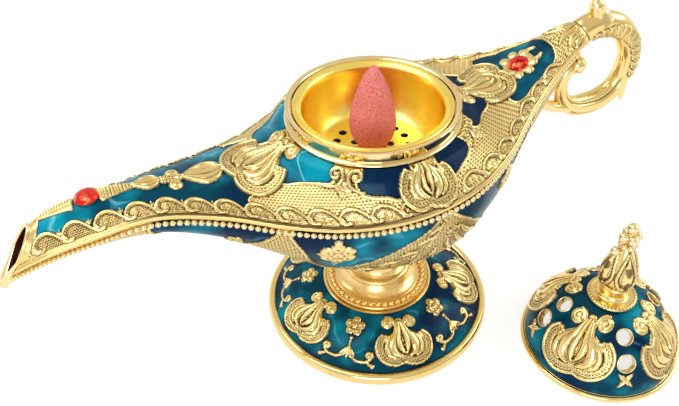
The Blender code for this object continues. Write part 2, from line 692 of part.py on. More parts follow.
def make_gem(name, place, radius, surface):
    base = GAP - GEM_SINK
    girdle = base + 0.45 * GEM_HEIGHT
    profile = [(0.0, base), (0.8 * radius, base), (radius, girdle),
               (0.62 * radius, base + GEM_HEIGHT), (0.0, base + GEM_HEIGHT)]
    verts, faces = turned(profile, GEM_SIDES)
    gem = solid(name, verts, faces, surface, sharp=10.0)
    seat_on_crest(gem, place)
    return gem


def collar_seat_cutter():
    """Hole for the collar's sleeve, and above it a flat seat for its flange."""
    seat = BODY_Z + COLLAR_SEAT
    seat_radius = COLLAR_RADIUS + COLLAR_FLANGE_PROUD + GAP
    verts, faces = turned([(0.0, seat - SEAT_CUT_REACH), (BODY_HOLE_RADIUS, seat - SEAT_CUT_REACH),
                           (BODY_HOLE_RADIUS, seat), (seat_radius, seat),
                           (seat_radius, seat + SEAT_CUT_REACH), (0.0, seat + SEAT_CUT_REACH)], ROUND_SIDES)
    return solid("collar_seat_cut", verts, faces, location=(COLLAR_X, 0.0, 0.0))


def dome_height(x, y):
    """Height of the upper shell's skin over a place in plan."""
    half, ridge, crest, keel = body_row(x)
    width = half - RIDGE_BAND_DEPTH * end_scale(half)
    share = min(max(y / width, -1.0), 1.0)
    return dome_point(x, share)[2]


def add_shell_ornaments(shell):
    for index, (place, heading, length, width) in enumerate(SHELL_PALMETTES):
        plate = raised_ornament(f"shell_palmette_{index + 1}", PALMETTE_OUTLINE, dome_height, place, heading,
                                length, width, SHELL_PALMETTE_HEIGHT)
        combine(shell, plate, "UNION")
    for index, (place, heading, length, width) in enumerate(SHELL_BUDS):
        plate = raised_ornament(f"shell_bud_{index + 1}", BUD_OUTLINE, dome_height, place, heading,
                                length, width, SHELL_BUD_HEIGHT)
        combine(shell, plate, "UNION")


def make_upper_shell(surface):
    edge = [(0.4, 0.0), (0.0, 0.25), (0.0, 0.7), (0.4, 0.92), (1.0, 1.0)]
    shell = half_shell("upper_shell", edge, dome_point, DOME_POINTS,
                       RIDGE_BAND_DEPTH, RIDGE_BAND_HEIGHT, 1.0, surface)
    add_shell_ornaments(shell)
    combine(shell, mouth_cutter("upper_mouth_cut"), "DIFFERENCE")
    combine(shell, collar_seat_cutter(), "DIFFERENCE")
    for name, (place, radius) in (("spout", GEM_SPOUT), ("tail", GEM_TAIL)):
        combine(shell, make_bezel(f"{name}_bezel", place, radius), "UNION")
        combine(shell, make_gem_pocket(f"{name}_gem_pocket_cut", place, radius), "DIFFERENCE")
    return shell


def make_lower_shell(surface):
    edge = [(0.35, 0.0), (0.15, 0.3), (0.15, 0.62), (0.45, 0.9), (1.0, 1.0)]
    shell = half_shell("lower_shell", edge, hull_point, HULL_POINTS,
                       BEAD_STRIP_DEPTH, BEAD_STRIP_HEIGHT, -1.0, surface)
    combine(shell, mouth_cutter("lower_mouth_cut"), "DIFFERENCE")
    combine(shell, disc("stem_boss", STEM_TOP_RADIUS, HULL_BOSS_Z, BODY_Z + WALL, ROUND_SIDES), "UNION")
    combine(shell, disc("nut_boss", NUT_BOSS_RADIUS, BODY_Z + 0.5 * WALL, NUT_SEAT_Z, SMALL_SIDES), "UNION")
    bore = disc("bolt_hole_cut", BOLT_HOLE_RADIUS, STEM_Z, NUT_SEAT_Z + CUTTER_REACH, SMALL_SIDES)
    combine(shell, bore, "DIFFERENCE")
    return shell


def make_collar(surface):
    flange = COLLAR_RADIUS + COLLAR_FLANGE_PROUD
    top = COLLAR_TOP_Z
    sleeve_z = COLLAR_Z - COLLAR_SLEEVE_DEPTH
    profile = [(COLLAR_BORE, sleeve_z), (COLLAR_SLEEVE_RADIUS, sleeve_z), (COLLAR_SLEEVE_RADIUS, COLLAR_Z)]
    profile += [(flange, COLLAR_Z), (flange, COLLAR_Z + 0.5 * MM)]
    profile += [(COLLAR_RADIUS - 0.35 * MM, COLLAR_Z + 1.0 * MM)]
    profile += [(COLLAR_RADIUS, COLLAR_Z + 1.5 * MM), (COLLAR_RADIUS, top - 0.8 * MM)]
    profile += [(COLLAR_RADIUS - 0.3 * MM, top - 0.2 * MM), (COLLAR_RADIUS - 0.75 * MM, top)]
    profile += [(COLLAR_LIP_RADIUS, top - 0.3 * MM), (COLLAR_LIP_RADIUS, CUP_LEDGE_Z)]
    profile += [(COLLAR_BORE, CUP_LEDGE_Z)]
    verts, faces = turned(profile, ROUND_SIDES)
    return solid("collar", verts, faces, surface, location=(COLLAR_X, 0.0, 0.0))


def cup_profile():
    """Flange, inward-sloping lip, curved wall and flat floor, around the cup's axis."""
    underside = CUP_LEDGE_Z + GAP
    lip = underside + CUP_FLANGE_RISE
    mouth = underside + 0.4 * MM
    floor = CUP_FLOOR_Z
    inner = [(CUP_FLANGE_RADIUS, underside + 0.5 * MM), (CUP_FLANGE_RADIUS - 0.4 * MM, lip)]
    inner += [(CUP_FLANGE_RADIUS - 1.2 * MM, lip - 0.1 * MM), (CUP_MOUTH_RADIUS, mouth)]
    outer = [(CUP_FLANGE_RADIUS, underside), (CUP_MOUTH_RADIUS + CUP_WALL, underside)]
    for t in np.linspace(0.3, 1.0, 4):
        sweep = t * math.pi / 2.0
        radius = CUP_FLOOR_RADIUS + (CUP_MOUTH_RADIUS - CUP_FLOOR_RADIUS) * math.cos(sweep)
        drop = (mouth - floor) * (1.0 - t) ** 1.5
        inner.append((radius, floor + drop))
        outer.append((radius + CUP_WALL * (1.0 - 0.4 * t), floor + drop - CUP_WALL * t))
    return inner + [(0.0, floor), (0.0, floor - CUP_WALL)] + outer[::-1]


def make_cup(surface):
    verts, faces = turned(cup_profile(), ROUND_SIDES)
    cup = solid("incense_cup", verts, faces, surface, location=(COLLAR_X, 0.0, 0.0))
    points = []
    sides = []
    for ring_radius, count, phase in CUP_RINGS:
        for step in range(count):
            angle = phase + 2.0 * math.pi * step / count
            place = (ring_radius * math.cos(angle), ring_radius * math.sin(angle))
            hole, skins = turned([(0.0, -CUTTER_REACH), (CUP_HOLE_RADIUS, -CUTTER_REACH),
                                  (CUP_HOLE_RADIUS, CUTTER_REACH), (0.0, CUTTER_REACH)], CUP_HOLE_SIDES)
            start = len(points)
            points += [(x + place[0], y + place[1], z + CUP_FLOOR_Z) for x, y, z in hole]
            sides += [[start + i for i in face] for face in skins]
    holes = solid("cup_holes_cut", points, sides, location=(COLLAR_X, 0.0, 0.0))
    combine(cup, holes, "DIFFERENCE")
    return cup


def make_cone(surface):
    base = CUP_FLOOR_Z + GAP
    profile = [(0.0, base), (CONE_BASE_RADIUS, base)]
    for t in np.linspace(0.06, 0.97, 13):
        if t < CONE_BELLY:
            sweep = (1.0 - t / CONE_BELLY) * math.pi / 2.0
            radius = CONE_BASE_RADIUS + (CONE_RADIUS - CONE_BASE_RADIUS) * math.cos(sweep) ** 0.8
        else:
            rise = (t - CONE_BELLY) / (1.0 - CONE_BELLY)
            radius = CONE_RADIUS * (1.0 - rise**CONE_TAPER) ** CONE_TIP_ROUNDING
        profile.append((radius, base + t * CONE_HEIGHT))
    profile.append((0.0, base + CONE_HEIGHT))
    verts, faces = turned(profile, SMALL_SIDES)
    return solid("incense_cone", verts, faces, surface, location=(COLLAR_X, 0.0, 0.0), sharp=60.0)


def tube_ring(place, tangent, radius, depth, phase):
    """Ring of points around a route in the lamp's middle plane."""
    across = Vector((-tangent.z, 0.0, tangent.x))
    ring = []
    for step in range(HANDLE_SIDES):
        angle = 2.0 * math.pi * (step + phase) / HANDLE_SIDES
        point = place + across * (radius * math.cos(angle))
        point.y += depth * math.sin(angle)
        ring.append(tuple(point))
    return ring


def handle_solid(name, route, depth_share, phase=0.5, first_tangent=None, surface=None):
    """A tapered tube along a route of (x, z, radius) rows in metres; joined tubes are
    turned by half a side, so that no edge of one lies along an edge of another."""
    rings = []
    for index, (x, z, radius) in enumerate(route):
        before = route[max(index - 1, 0)]
        after = route[min(index + 1, len(route) - 1)]
        tangent = Vector((after[0] - before[0], 0.0, after[1] - before[1])).normalized()
        if index == 0 and first_tangent is not None:
            tangent = first_tangent
        rings.append(tube_ring(Vector((x, 0.0, z)), tangent, radius, radius * depth_share, phase))
    verts, faces = lofted(rings, fan_cap(HANDLE_SIDES))
    return solid(name, verts, faces, surface)


def raised(rows):
    """Rows given in millimetres above the hull's lowest point, in metres."""
    return [(row[0] * MM, row[1] * MM + BODY_Z) + tuple(value * MM for value in row[2:]) for row in rows]


def body_envelope(name, margin):
    """The body's outside, a little enlarged, to seat the handle's strut against it."""
    places = np.linspace(BODY_ROWS[-4][0], BODY_ROWS[-1][0], 12) * MM
    rings = []
    for x in places:
        ring = [dome_point(x, share, -margin) for share in np.linspace(1.0, -1.0, 12)]
        ring += [hull_point(x, share, -margin) for share in np.linspace(-1.0, 1.0, 12)]
        rings.append(ring)
    verts, faces = lofted(rings, fan_cap(len(rings[0])))
    return solid(name, verts, faces)


def make_barb(name, root, tip, radius):
    """Small pointed bud on the outside of the handle."""
    root_x, root_z = root
    tip_x, tip_z = tip
    rows = []
    for t, share in ((0.0, 0.75), (0.35, 1.0), (0.65, 0.72), (0.88, 0.34), (1.0, 0.1)):
        rows.append((root_x + (tip_x - root_x) * t, root_z + (tip_z - root_z) * t, radius * share))
    return handle_solid(name, raised(rows), 0.8)


def make_handle(surface):
    ball_x, ball_z, ball_radius = HANDLE_BALL
    route = [tuple(row) for row in smooth_route(HANDLE_ROUTE, HANDLE_STEPS)]
    reach = math.hypot(ball_x - route[-1][0], ball_z - route[-1][1])
    heading = ((ball_x - route[-1][0]) / reach, (ball_z - route[-1][1]) / reach)
    for turn in np.linspace(-0.7, 0.97, 7):
        along = ball_radius * turn
        radius = ball_radius * math.sqrt(1.0 - turn * turn)
        route.append((ball_x + heading[0] * along, ball_z + heading[1] * along, radius))
    loop = handle_solid("handle", raised(route), HANDLE_DEPTH_SHARE, 0.0, Vector((1.0, 0.0, 0.0)), surface)
    strut = [tuple(row) for row in smooth_route(HANDLE_STRUT, 6)]
    combine(loop, handle_solid("handle_strut", raised(strut), 1.2), "UNION")
    combine(loop, body_envelope("handle_seat_cut", GAP), "DIFFERENCE")
    tenon_scale = TENON_RADIUS / MM
    tenon = [(x, z, tenon_scale) for x, z in HANDLE_TENON]
    combine(loop, handle_solid("handle_tenon", raised(tenon), 1.0), "UNION")
    for index, (root, tip, radius) in enumerate(BARBS):
        combine(loop, make_barb(f"handle_barb_{index + 1}", root, tip, radius), "UNION")
    return loop


def lid_skin(t):
    """Radius and height on the lid's dome, from its rim (0) to its flat top (1)."""
    rim = LID_RADIUS - LID_RIM_WIDTH
    angle = t * math.pi / 2.0
    radius = LID_TOP_RADIUS + (rim - LID_TOP_RADIUS) * math.cos(angle) ** LID_SIDE_POWER
    base = LID_SKIRT_DEPTH + LID_RIM_HEIGHT
    height = base + (LID_HEIGHT - base) * math.sin(angle) ** LID_RISE_POWER
    return radius, height


def add_lid_palmettes(lid):
    """Palmettes between the pairs of holes, in the lid's own frame."""
    skin = np.array([lid_skin(t) for t in np.linspace(1.0, 0.0, 201)])

    def height_at(x, y):
        return float(np.interp(math.hypot(x, y), skin[:, 0], skin[:, 1]))

    for index, bearing in enumerate(LID_PALMETTE_BEARINGS):
        place = (LID_PALMETTE_RING * math.cos(bearing), LID_PALMETTE_RING * math.sin(bearing))
        plate = raised_ornament(f"lid_palmette_{index + 1}", PALMETTE_OUTLINE, height_at, place,
                                bearing + math.pi, LID_PALMETTE_LENGTH, LID_PALMETTE_WIDTH,
                                LID_PALMETTE_HEIGHT)
        plate.location = LID_PLACE
        combine(lid, plate, "UNION")


def make_lid(surface):
    skirt_in = LID_SKIRT_RADIUS - LID_SKIRT_WALL
    rim_z = LID_SKIRT_DEPTH
    steps = np.linspace(0.0, 1.0, 9)
    outer = [(LID_SKIRT_RADIUS, 0.0), (LID_SKIRT_RADIUS, rim_z), (LID_RADIUS - 0.3 * MM, rim_z)]
    outer += [(LID_RADIUS, rim_z + 0.4 * MM), (LID_RADIUS, rim_z + 1.0 * MM)]
    outer += [(LID_RADIUS - 0.4 * MM, rim_z + LID_RIM_HEIGHT)]
    outer += [lid_skin(t) for t in steps]
    screw_hole = FINIAL_SCREW_RADIUS + SCREW_CLEARANCE
    outer += [(screw_hole, LID_HEIGHT)]
    inner = [(screw_hole, LID_HEIGHT - LID_WALL)]
    for t in steps[::-1][:-1]:
        radius, height = lid_skin(t)
        inner_height = max(height - LID_WALL, rim_z + 0.6 * MM)
        taper = (LID_RADIUS - 2.9 * MM) / (LID_RADIUS - LID_RIM_WIDTH)
        inner_radius = min(radius - 0.6 * LID_WALL, radius * taper)
        inner.append((inner_radius, inner_height))
    inner += [(skirt_in, rim_z + 0.6 * MM), (skirt_in, 0.0)]
    verts, faces = turned(outer + inner, ROUND_SIDES)
    lid = solid("lid", verts, faces, surface, location=LID_PLACE)
    add_lid_palmettes(lid)
    combine(lid, lid_hole_cutter(), "DIFFERENCE")
    return lid


def lid_hole_cutter():
    """Round holes in pairs between the palmettes, square to the dome."""
    steps = np.linspace(0.0, 1.0, 201)
    skin = np.array([lid_skin(t) for t in steps])
    points = []
    sides = []
    for ring_radius, hole_radius in LID_HOLES:
        index = int(np.argmin(abs(skin[:, 0] - ring_radius)))
        rise = skin[index + 1] - skin[index - 1]
        normal = Vector((rise[1], 0.0, -rise[0])).normalized()
        if normal.x < 0.0:
            normal.negate()
        centre = Vector((skin[index, 0], 0.0, skin[index, 1]))
        across = Vector((0.0, 1.0, 0.0))
        up = normal.cross(across)
        for bearing in LID_HOLE_BEARINGS:
            start = len(points)
            for end in (-CUTTER_REACH, CUTTER_REACH):
                for step in range(LID_HOLE_SIDES):
                    angle = 2.0 * math.pi * step / LID_HOLE_SIDES
                    offset = across * (hole_radius * math.cos(angle)) + up * (hole_radius * math.sin(angle))
                    point = centre + normal * end + offset
                    points.append((point.x * math.cos(bearing) - point.y * math.sin(bearing),
                                   point.x * math.sin(bearing) + point.y * math.cos(bearing), point.z))
            far = start + LID_HOLE_SIDES
            for step in range(LID_HOLE_SIDES):
                after = (step + 1) % LID_HOLE_SIDES
                sides.append([start + step, start + after, far + after, far + step])
            sides.append([start + i for i in range(LID_HOLE_SIDES)])
            sides.append([far + i for i in range(LID_HOLE_SIDES)])
    return solid("lid_holes_cut", points, sides, location=LID_PLACE)


def make_finial(surface):
    base = LID_HEIGHT + GAP
    neck = base + FINIAL_FLANGE_HEIGHT
    bulb = neck + FINIAL_NECK_HEIGHT
    bore = FINIAL_SCREW_RADIUS + SCREW_CLEARANCE
    bore_top = base + FINIAL_SCREW_DEPTH + SCREW_CLEARANCE
    profile = [(0.0, bore_top), (bore, bore_top), (bore, base), (FINIAL_FLANGE_RADIUS - 0.3 * MM, base)]
    profile += [(FINIAL_FLANGE_RADIUS, base + 0.5 * MM), (FINIAL_FLANGE_RADIUS - 0.4 * MM, neck)]
    profile += [(FINIAL_FLANGE_RADIUS - 1.6 * MM, neck - 0.2 * MM), (FINIAL_NECK_RADIUS, neck + 0.2 * MM)]
    profile += [(FINIAL_NECK_RADIUS - 0.3 * MM, bulb - 0.8 * MM), (FINIAL_BULB_RADIUS - 0.6 * MM, bulb)]
    for t in np.linspace(0.1, 1.0, 8):
        swell = math.sin(math.pi * (0.32 + 0.68 * t) ** 0.72) ** 0.8 if t < 1.0 else 0.0
        radius = FINIAL_TIP_RADIUS + (FINIAL_BULB_RADIUS - FINIAL_TIP_RADIUS) * swell
        profile.append((radius, bulb + FINIAL_BULB_HEIGHT * t))
    top = bulb + FINIAL_BULB_HEIGHT
    stalk_top = top + FINIAL_CROWN_HEIGHT - 2.0 * FINIAL_BALL_RADIUS
    profile += [(FINIAL_STALK_RADIUS, top + 0.6 * MM), (FINIAL_STALK_RADIUS, stalk_top)]
    profile += [(0.0, stalk_top + 1.0 * MM)]
    verts, faces = turned(profile, SMALL_SIDES)
    finial = solid("finial", verts, faces, surface, location=LID_PLACE)
    ball = FINIAL_BALL_RADIUS
    crown = [(0.0, 0.0, top + FINIAL_CROWN_HEIGHT - 1.1 * ball, 1.1 * ball)]
    side_z = top + 0.36 * FINIAL_CROWN_HEIGHT
    for step in range(4):
        angle = 2.0 * math.pi * step / 4 + FINIAL_BEARING
        reach = FINIAL_STALK_RADIUS + 0.55 * ball
        crown.append((reach * math.cos(angle), reach * math.sin(angle), side_z, 0.85 * ball))
    knob_angle = FINIAL_BEARING + math.pi
    knob_reach = FINIAL_TIP_RADIUS + 0.8 * ball
    knob_z = top - 1.8 * MM
    crown.append((knob_reach * math.cos(knob_angle), knob_reach * math.sin(knob_angle), knob_z, 0.8 * ball))
    for index, (x, y, z, radius) in enumerate(crown):
        combine(finial, ball_solid(f"finial_ball_{index + 1}", (x, y, z), radius), "UNION")
    return finial


def ball_solid(name, place, radius):
    profile = [(radius * math.sin(math.pi * step / 6), place[2] - radius * math.cos(math.pi * step / 6))
               for step in range(7)]
    profile[0] = (0.0, place[2] - radius)
    profile[-1] = (0.0, place[2] + radius)
    verts, faces = turned(profile, 10)
    centre = (LID_PLACE[0] + place[0], LID_PLACE[1] + place[1], 0.0)
    return solid(name, verts, faces, location=centre, sharp=60.0)


def make_finial_screw(steel):
    head_top = LID_HEIGHT - LID_WALL - GAP
    head_bottom = head_top - FINIAL_HEAD_HEIGHT
    end = LID_HEIGHT + GAP + FINIAL_SCREW_DEPTH
    verts, faces = turned([(0.0, head_bottom), (FINIAL_HEAD_RADIUS - 0.4 * MM, head_bottom),
                           (FINIAL_HEAD_RADIUS, head_bottom + 0.4 * MM), (FINIAL_HEAD_RADIUS, head_top),
                           (FINIAL_SCREW_RADIUS, head_top), (FINIAL_SCREW_RADIUS, end - 0.4 * MM),
                           (FINIAL_SCREW_RADIUS - 0.4 * MM, end), (0.0, end)], 16)
    return solid("finial_screw", verts, faces, steel, location=LID_PLACE)


def main():
    clear_scene()
    gold = material("polished_gold_plate", (0.86, 0.62, 0.22), 0.18, 1.0)
    satin = material("satin_gold_plate", (0.88, 0.58, 0.14), 0.32, 1.0)
    enamel = material("teal_enamel", (0.0, 0.17, 0.25), 0.12, 0.2)
    gem = material("red_glass_gem", (0.75, 0.07, 0.04), 0.05, 0.0)
    incense = material("pink_incense", (0.72, 0.27, 0.25), 0.95, 0.0)
    steel = material("zinc_plated_steel", (0.55, 0.56, 0.58), 0.35, 1.0)
    felt = material("black_felt", (0.02, 0.02, 0.025), 0.95, 0.0)
    make_pad(felt)
    make_foot(enamel)
    make_stem(gold)
    make_fasteners(steel)
    make_lower_shell(enamel)
    make_upper_shell(gold)
    make_collar(gold)
    make_cup(satin)
    make_cone(incense)
    make_gem("spout_gem", *GEM_SPOUT, gem)
    make_gem("tail_gem", *GEM_TAIL, gem)
    make_handle(gold)
    make_lid(enamel)
    make_finial(gold)
    make_finial_screw(steel)


main()
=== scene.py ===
# Looks of the genie lamp incense burner: cast relief, gold plate, teal enamel, gems, incense.
# Lengths are in millimetres until a mesh is made, and heights are above the floor.
import math

import bpy
import numpy as np
from mathutils import Matrix, Vector


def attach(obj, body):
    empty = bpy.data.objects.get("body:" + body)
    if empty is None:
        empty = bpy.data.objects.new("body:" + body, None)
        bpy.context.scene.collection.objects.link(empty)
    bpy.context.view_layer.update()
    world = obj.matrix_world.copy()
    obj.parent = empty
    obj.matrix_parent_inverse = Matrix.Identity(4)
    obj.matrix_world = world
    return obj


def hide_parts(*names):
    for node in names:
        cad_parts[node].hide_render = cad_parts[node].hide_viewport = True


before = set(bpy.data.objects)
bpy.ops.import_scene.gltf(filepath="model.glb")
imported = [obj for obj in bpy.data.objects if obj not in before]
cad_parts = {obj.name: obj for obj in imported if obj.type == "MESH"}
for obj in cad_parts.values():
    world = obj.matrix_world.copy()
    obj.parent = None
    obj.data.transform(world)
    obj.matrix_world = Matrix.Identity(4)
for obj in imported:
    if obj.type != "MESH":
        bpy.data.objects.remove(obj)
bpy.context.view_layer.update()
MM = 0.001

# The body's rows, as in the part: place, half width, ridge, crest and keel
BODY_Z = 30.0
BODY_ROWS = [
    (-109.0, 1.6, 28.0, 30.5, 26.0), (-106.0, 3.8, 30.5, 37.0, 27.5),
    (-98.0, 6.2, 34.5, 42.5, 31.0), (-84.0, 7.8, 37.7, 46.2, 33.0),
    (-68.0, 9.6, 39.9, 45.6, 31.0), (-52.0, 14.5, 38.0, 43.8, 24.5),
    (-36.0, 22.3, 35.0, 45.2, 14.0), (-27.0, 27.2, 34.6, 48.4, 8.0),
    (-18.0, 31.3, 35.2, 54.2, 3.5), (0.0, 35.3, 37.5, 56.2, 0.0),
    (15.0, 33.3, 40.0, 51.2, 2.0), (28.0, 26.5, 42.5, 47.8, 9.5),
    (40.0, 17.5, 46.3, 50.2, 20.0), (50.0, 11.5, 50.0, 54.6, 31.0),
    (60.0, 7.0, 54.0, 60.0, 45.0), (65.0, 5.3, 56.0, 61.5, 52.0),
]
# The slanted mouth's two ends, the collar's axis and the height of its seat, and the lid's axis
MOUTH_TOP = (-99.0, 71.5)
MOUTH_TIP = (-108.6, 57.0)
COLLAR_X = -2.3
COLLAR_SEAT_Z = 78.5
LID_PLACE = (58.24, -47.84)


def smooth_rows(rows, places):
    """Cubic curves through rows of (place, value, value, ...), read at places."""
    table = np.array(rows, dtype=float)
    knots = table[:, 0]
    values = table[:, 1:]
    spans = np.diff(knots)[:, None]
    slopes = np.diff(values, axis=0) / spans
    tangents = np.empty_like(values)
    tangents[0] = slopes[0]
    tangents[-1] = slopes[-1]
    tangents[1:-1] = slopes[:-1] * spans[1:] + slopes[1:] * spans[:-1]
    tangents[1:-1] /= spans[:-1] + spans[1:]
    places = np.asarray(places, dtype=float)
    index = np.clip(np.searchsorted(knots, places) - 1, 0, len(knots) - 2)
    step = spans[index]
    t = (places - knots[index])[:, None] / step
    return ((2 * t**3 - 3 * t**2 + 1) * values[index]
            + (t**3 - 2 * t**2 + t) * step * tangents[index]
            + (3 * t**2 - 2 * t**3) * values[index + 1]
            + (t**3 - t**2) * step * tangents[index + 1])


def travelled(points):
    """The length run along a line at each of its points."""
    steps = np.linalg.norm(np.diff(points, axis=0), axis=1)
    return np.concatenate([[0.0], np.cumsum(steps)])


def read_along(line, travel, places):
    """Points of a line at lengths along it."""
    return np.stack([np.interp(places, travel, column) for column in line.T], axis=1)


def smooth_line(points, per_span=6, closed=False):
    """A smooth curve through points."""
    points = np.array(points, dtype=float)
    if closed:
        ring = np.vstack([points[-2:], points, points[:3]])
        count = len(points)
        rows = np.column_stack([np.arange(len(ring)), ring])
        return smooth_rows(rows, np.linspace(2.0, count + 2.0, count * per_span + 1)[:-1])
    travel = travelled(points[:, :2])
    rows = np.column_stack([travel, points])
    return smooth_rows(rows, np.linspace(0.0, travel[-1], (len(points) - 1) * per_span + 1))


def body_rows(x):
    """Half width of the body and heights of its ridge, crest and keel, along the lamp."""
    half, ridge, crest, keel = smooth_rows(BODY_ROWS, np.asarray(x, dtype=float)).T
    return half, ridge + BODY_Z, crest + BODY_Z, keel + BODY_Z


def smoothstep(low, high, value):
    """Nil at low and one at high, with an even start and end."""
    t = np.clip((value - low) / (high - low), 0.0, 1.0)
    return t * t * (3.0 - 2.0 * t)


def mesh_piece(name, points, faces, fields=None, material=None, smooth=True):
    """A mesh object from points in millimetres and lists of faces of 3 or 4 corners."""
    mesh = bpy.data.meshes.new(name)
    points = np.asarray(points, dtype=float)
    groups = [np.asarray(group, dtype=np.int32) for group in faces if len(group)]
    corners = np.concatenate([group.ravel() for group in groups])
    totals = np.concatenate([np.full(len(group), group.shape[1]) for group in groups])
    starts = np.concatenate([[0], np.cumsum(totals)[:-1]])
    mesh.vertices.add(len(points))
    mesh.vertices.foreach_set("co", (points * MM).astype(np.float32).ravel())
    mesh.loops.add(len(corners))
    mesh.loops.foreach_set("vertex_index", corners)
    mesh.polygons.add(len(totals))
    mesh.polygons.foreach_set("loop_start", starts.astype(np.int32))
    mesh.update(calc_edges=True)
    for key, values in (fields or {}).items():
        layer = mesh.attributes.new(key, "FLOAT", "POINT")
        layer.data.foreach_set("value", np.asarray(values, dtype=np.float32))
    if smooth:
        mesh.shade_smooth()
    item = bpy.data.objects.new(name, mesh)
    bpy.context.scene.collection.objects.link(item)
    if material is not None:
        mesh.materials.append(material)
    return item


def grid_faces(rows, columns, closed=False, flip=False):
    """Quads over a grid of points kept row by row; closed joins the last column to the first."""
    row = np.arange(rows - 1)[:, None]
    column = np.arange(columns if closed else columns - 1)[None, :]
    after = (column + 1) % columns
    a = row * columns + column
    b = row * columns + after
    c = (row + 1) * columns + after
    d = (row + 1) * columns + column
    order = [d, c, b, a] if flip else [a, b, c, d]
    return np.stack(order, axis=-1).reshape(-1, 4)


def ring_piece(name, grid, material):
    """A mesh object from a grid whose rows are closed rings."""
    rows, sides = grid.shape[:2]
    return mesh_piece(name, grid.reshape(-1, 3), [grid_faces(rows, sides, closed=True)], None, material)


def grid_normals(points, closed=False, flip=False):
    """Unit normals of a grid of points, shape rows x columns x 3."""
    along = np.gradient(points, axis=0)
    if closed:
        across = np.roll(points, -1, axis=1) - np.roll(points, 1, axis=1)
    else:
        across = np.gradient(points, axis=1)
    normal = np.cross(along, across) if flip else np.cross(across, along)
    length = np.linalg.norm(normal, axis=-1, keepdims=True)
    return normal / np.maximum(length, 1e-9)


def keep_used(points, faces, fields):
    """Drops the points that no face uses."""
    used = np.zeros(len(points), dtype=bool)
    for group in faces:
        used[np.asarray(group).ravel()] = True
    index = np.cumsum(used) - 1
    kept = {key: value[used] for key, value in fields.items()}
    return points[used], [index[group] for group in faces], kept


# Thinnest half of a stroke, and the painted shade at the bottom of a pit or groove
THINNEST = 0.01
PIT_SHADE = 0.9


class Relief:
    """Raised work over the points of one surface: its height, where it is gold, the painted shade
    in its hollows, its polish and the painted light and shade of the enamel."""

    def __init__(self, points, normals):
        self.points = points.reshape(-1, 3)
        self.normals = normals.reshape(-1, 3)
        count = len(self.points)
        self.height, self.gold, self.dark, self.shine, self.tone = np.zeros((5, count))

    def stamp(self, place, right, reach, size=1.0, mirror=False, squeeze=1.0):
        """A flat drawing board laid on the surface at its point nearest to place."""
        gap = np.linalg.norm(self.points - np.asarray(place, dtype=float), axis=1)
        centre = int(np.argmin(gap))
        origin = self.points[centre]
        normal = self.normals[centre]
        right = np.asarray(right, dtype=float)
        right = right - normal * np.dot(right, normal)
        right /= np.linalg.norm(right)
        up = np.cross(normal, right)
        offset = self.points - origin
        near = np.nonzero((np.einsum("ij,ij->i", offset, offset) < reach**2)
                          & (self.normals @ normal > 0.0))[0]
        offset = offset[near]
        a = offset @ right
        b = offset @ up
        flat = np.hypot(a, b)
        stretch = np.linalg.norm(offset, axis=1) / np.maximum(flat, 1e-6)
        a = a * stretch / size
        b = b * stretch / (size * squeeze)
        if mirror:
            a = -a
        return Board(self, near, a, b, size)

    def radial_stamp(self, bearing, radius, height, reach, centre=(0.0, 0.0), **more):
        """A board at a bearing round an upright axis, drawn with its top towards the axis."""
        a = math.radians(bearing)
        place = (centre[0] + radius * math.cos(a), centre[1] + radius * math.sin(a), height)
        return self.stamp(place, (-math.sin(a), math.cos(a), 0.0), reach, **more)

    def paint(self, where, gold=None, dark=None, shine=None):
        """Sets the fields named, where a mask says so."""
        for field, value in ((self.gold, gold), (self.dark, dark), (self.shine, shine)):
            if value is not None:
                field[where] = value

    def raised(self, shape):
        """The points moved out by their relief, and the fields that the materials read."""
        return self.points + self.normals * self.height[:, None], shade_and_highlight_fields(self, shape)


def line_distance(a, b, line):
    """Distance to a polyline, the length along it, and its interpolated third column."""
    best = np.full(len(a), 1e9)
    along = np.zeros(len(a))
    width = np.ones(len(a))
    travel = 0.0
    for start, end in zip(line[:-1], line[1:]):
        step = end[:2] - start[:2]
        length = math.hypot(step[0], step[1])
        if length < 1e-9:
            continue
        t = np.clip(((a - start[0]) * step[0] + (b - start[1]) * step[1]) / length**2, 0.0, 1.0)
        gap = np.hypot(a - start[0] - t * step[0], b - start[1] - t * step[1])
        if len(start) > 2:
            half = start[2] + (end[2] - start[2]) * t
            better = gap / half < best / width
            width = np.where(better, half, width)
        else:
            better = gap < best
        best = np.where(better, gap, best)
        along = np.where(better, travel + t * length, along)
        travel += length
    return best, along, width


def polygon_distance(a, b, ring):
    """Signed distance to a closed ring, negative inside."""
    best = np.full(len(a), 1e9)
    inside = np.zeros(len(a), dtype=bool)
    for start, end in zip(ring, np.roll(ring, -1, axis=0)):
        step = end - start
        length = step @ step
        if length < 1e-12:
            continue
        t = np.clip(((a - start[0]) * step[0] + (b - start[1]) * step[1]) / length, 0.0, 1.0)
        best = np.minimum(best, np.hypot(a - start[0] - t * step[0], b - start[1] - t * step[1]))
        crosses = (start[1] > b) != (end[1] > b)
        with np.errstate(divide="ignore", invalid="ignore"):
            reach = start[0] + (b - start[1]) * step[0] / step[1]
        inside ^= crosses & (a < reach)
    return np.where(inside, -best, best)


def drawn(points, smooth):
    """A line's points as an array, with a curve through them where smooth is asked for."""
    points = np.array(points, dtype=float)
    return smooth_line(points, 5) if smooth and len(points) > 2 else points


def sided(points, side):
    """Points mirrored to one side of the upright axis of a drawing."""
    return [(side * x, y) for x, y in points]


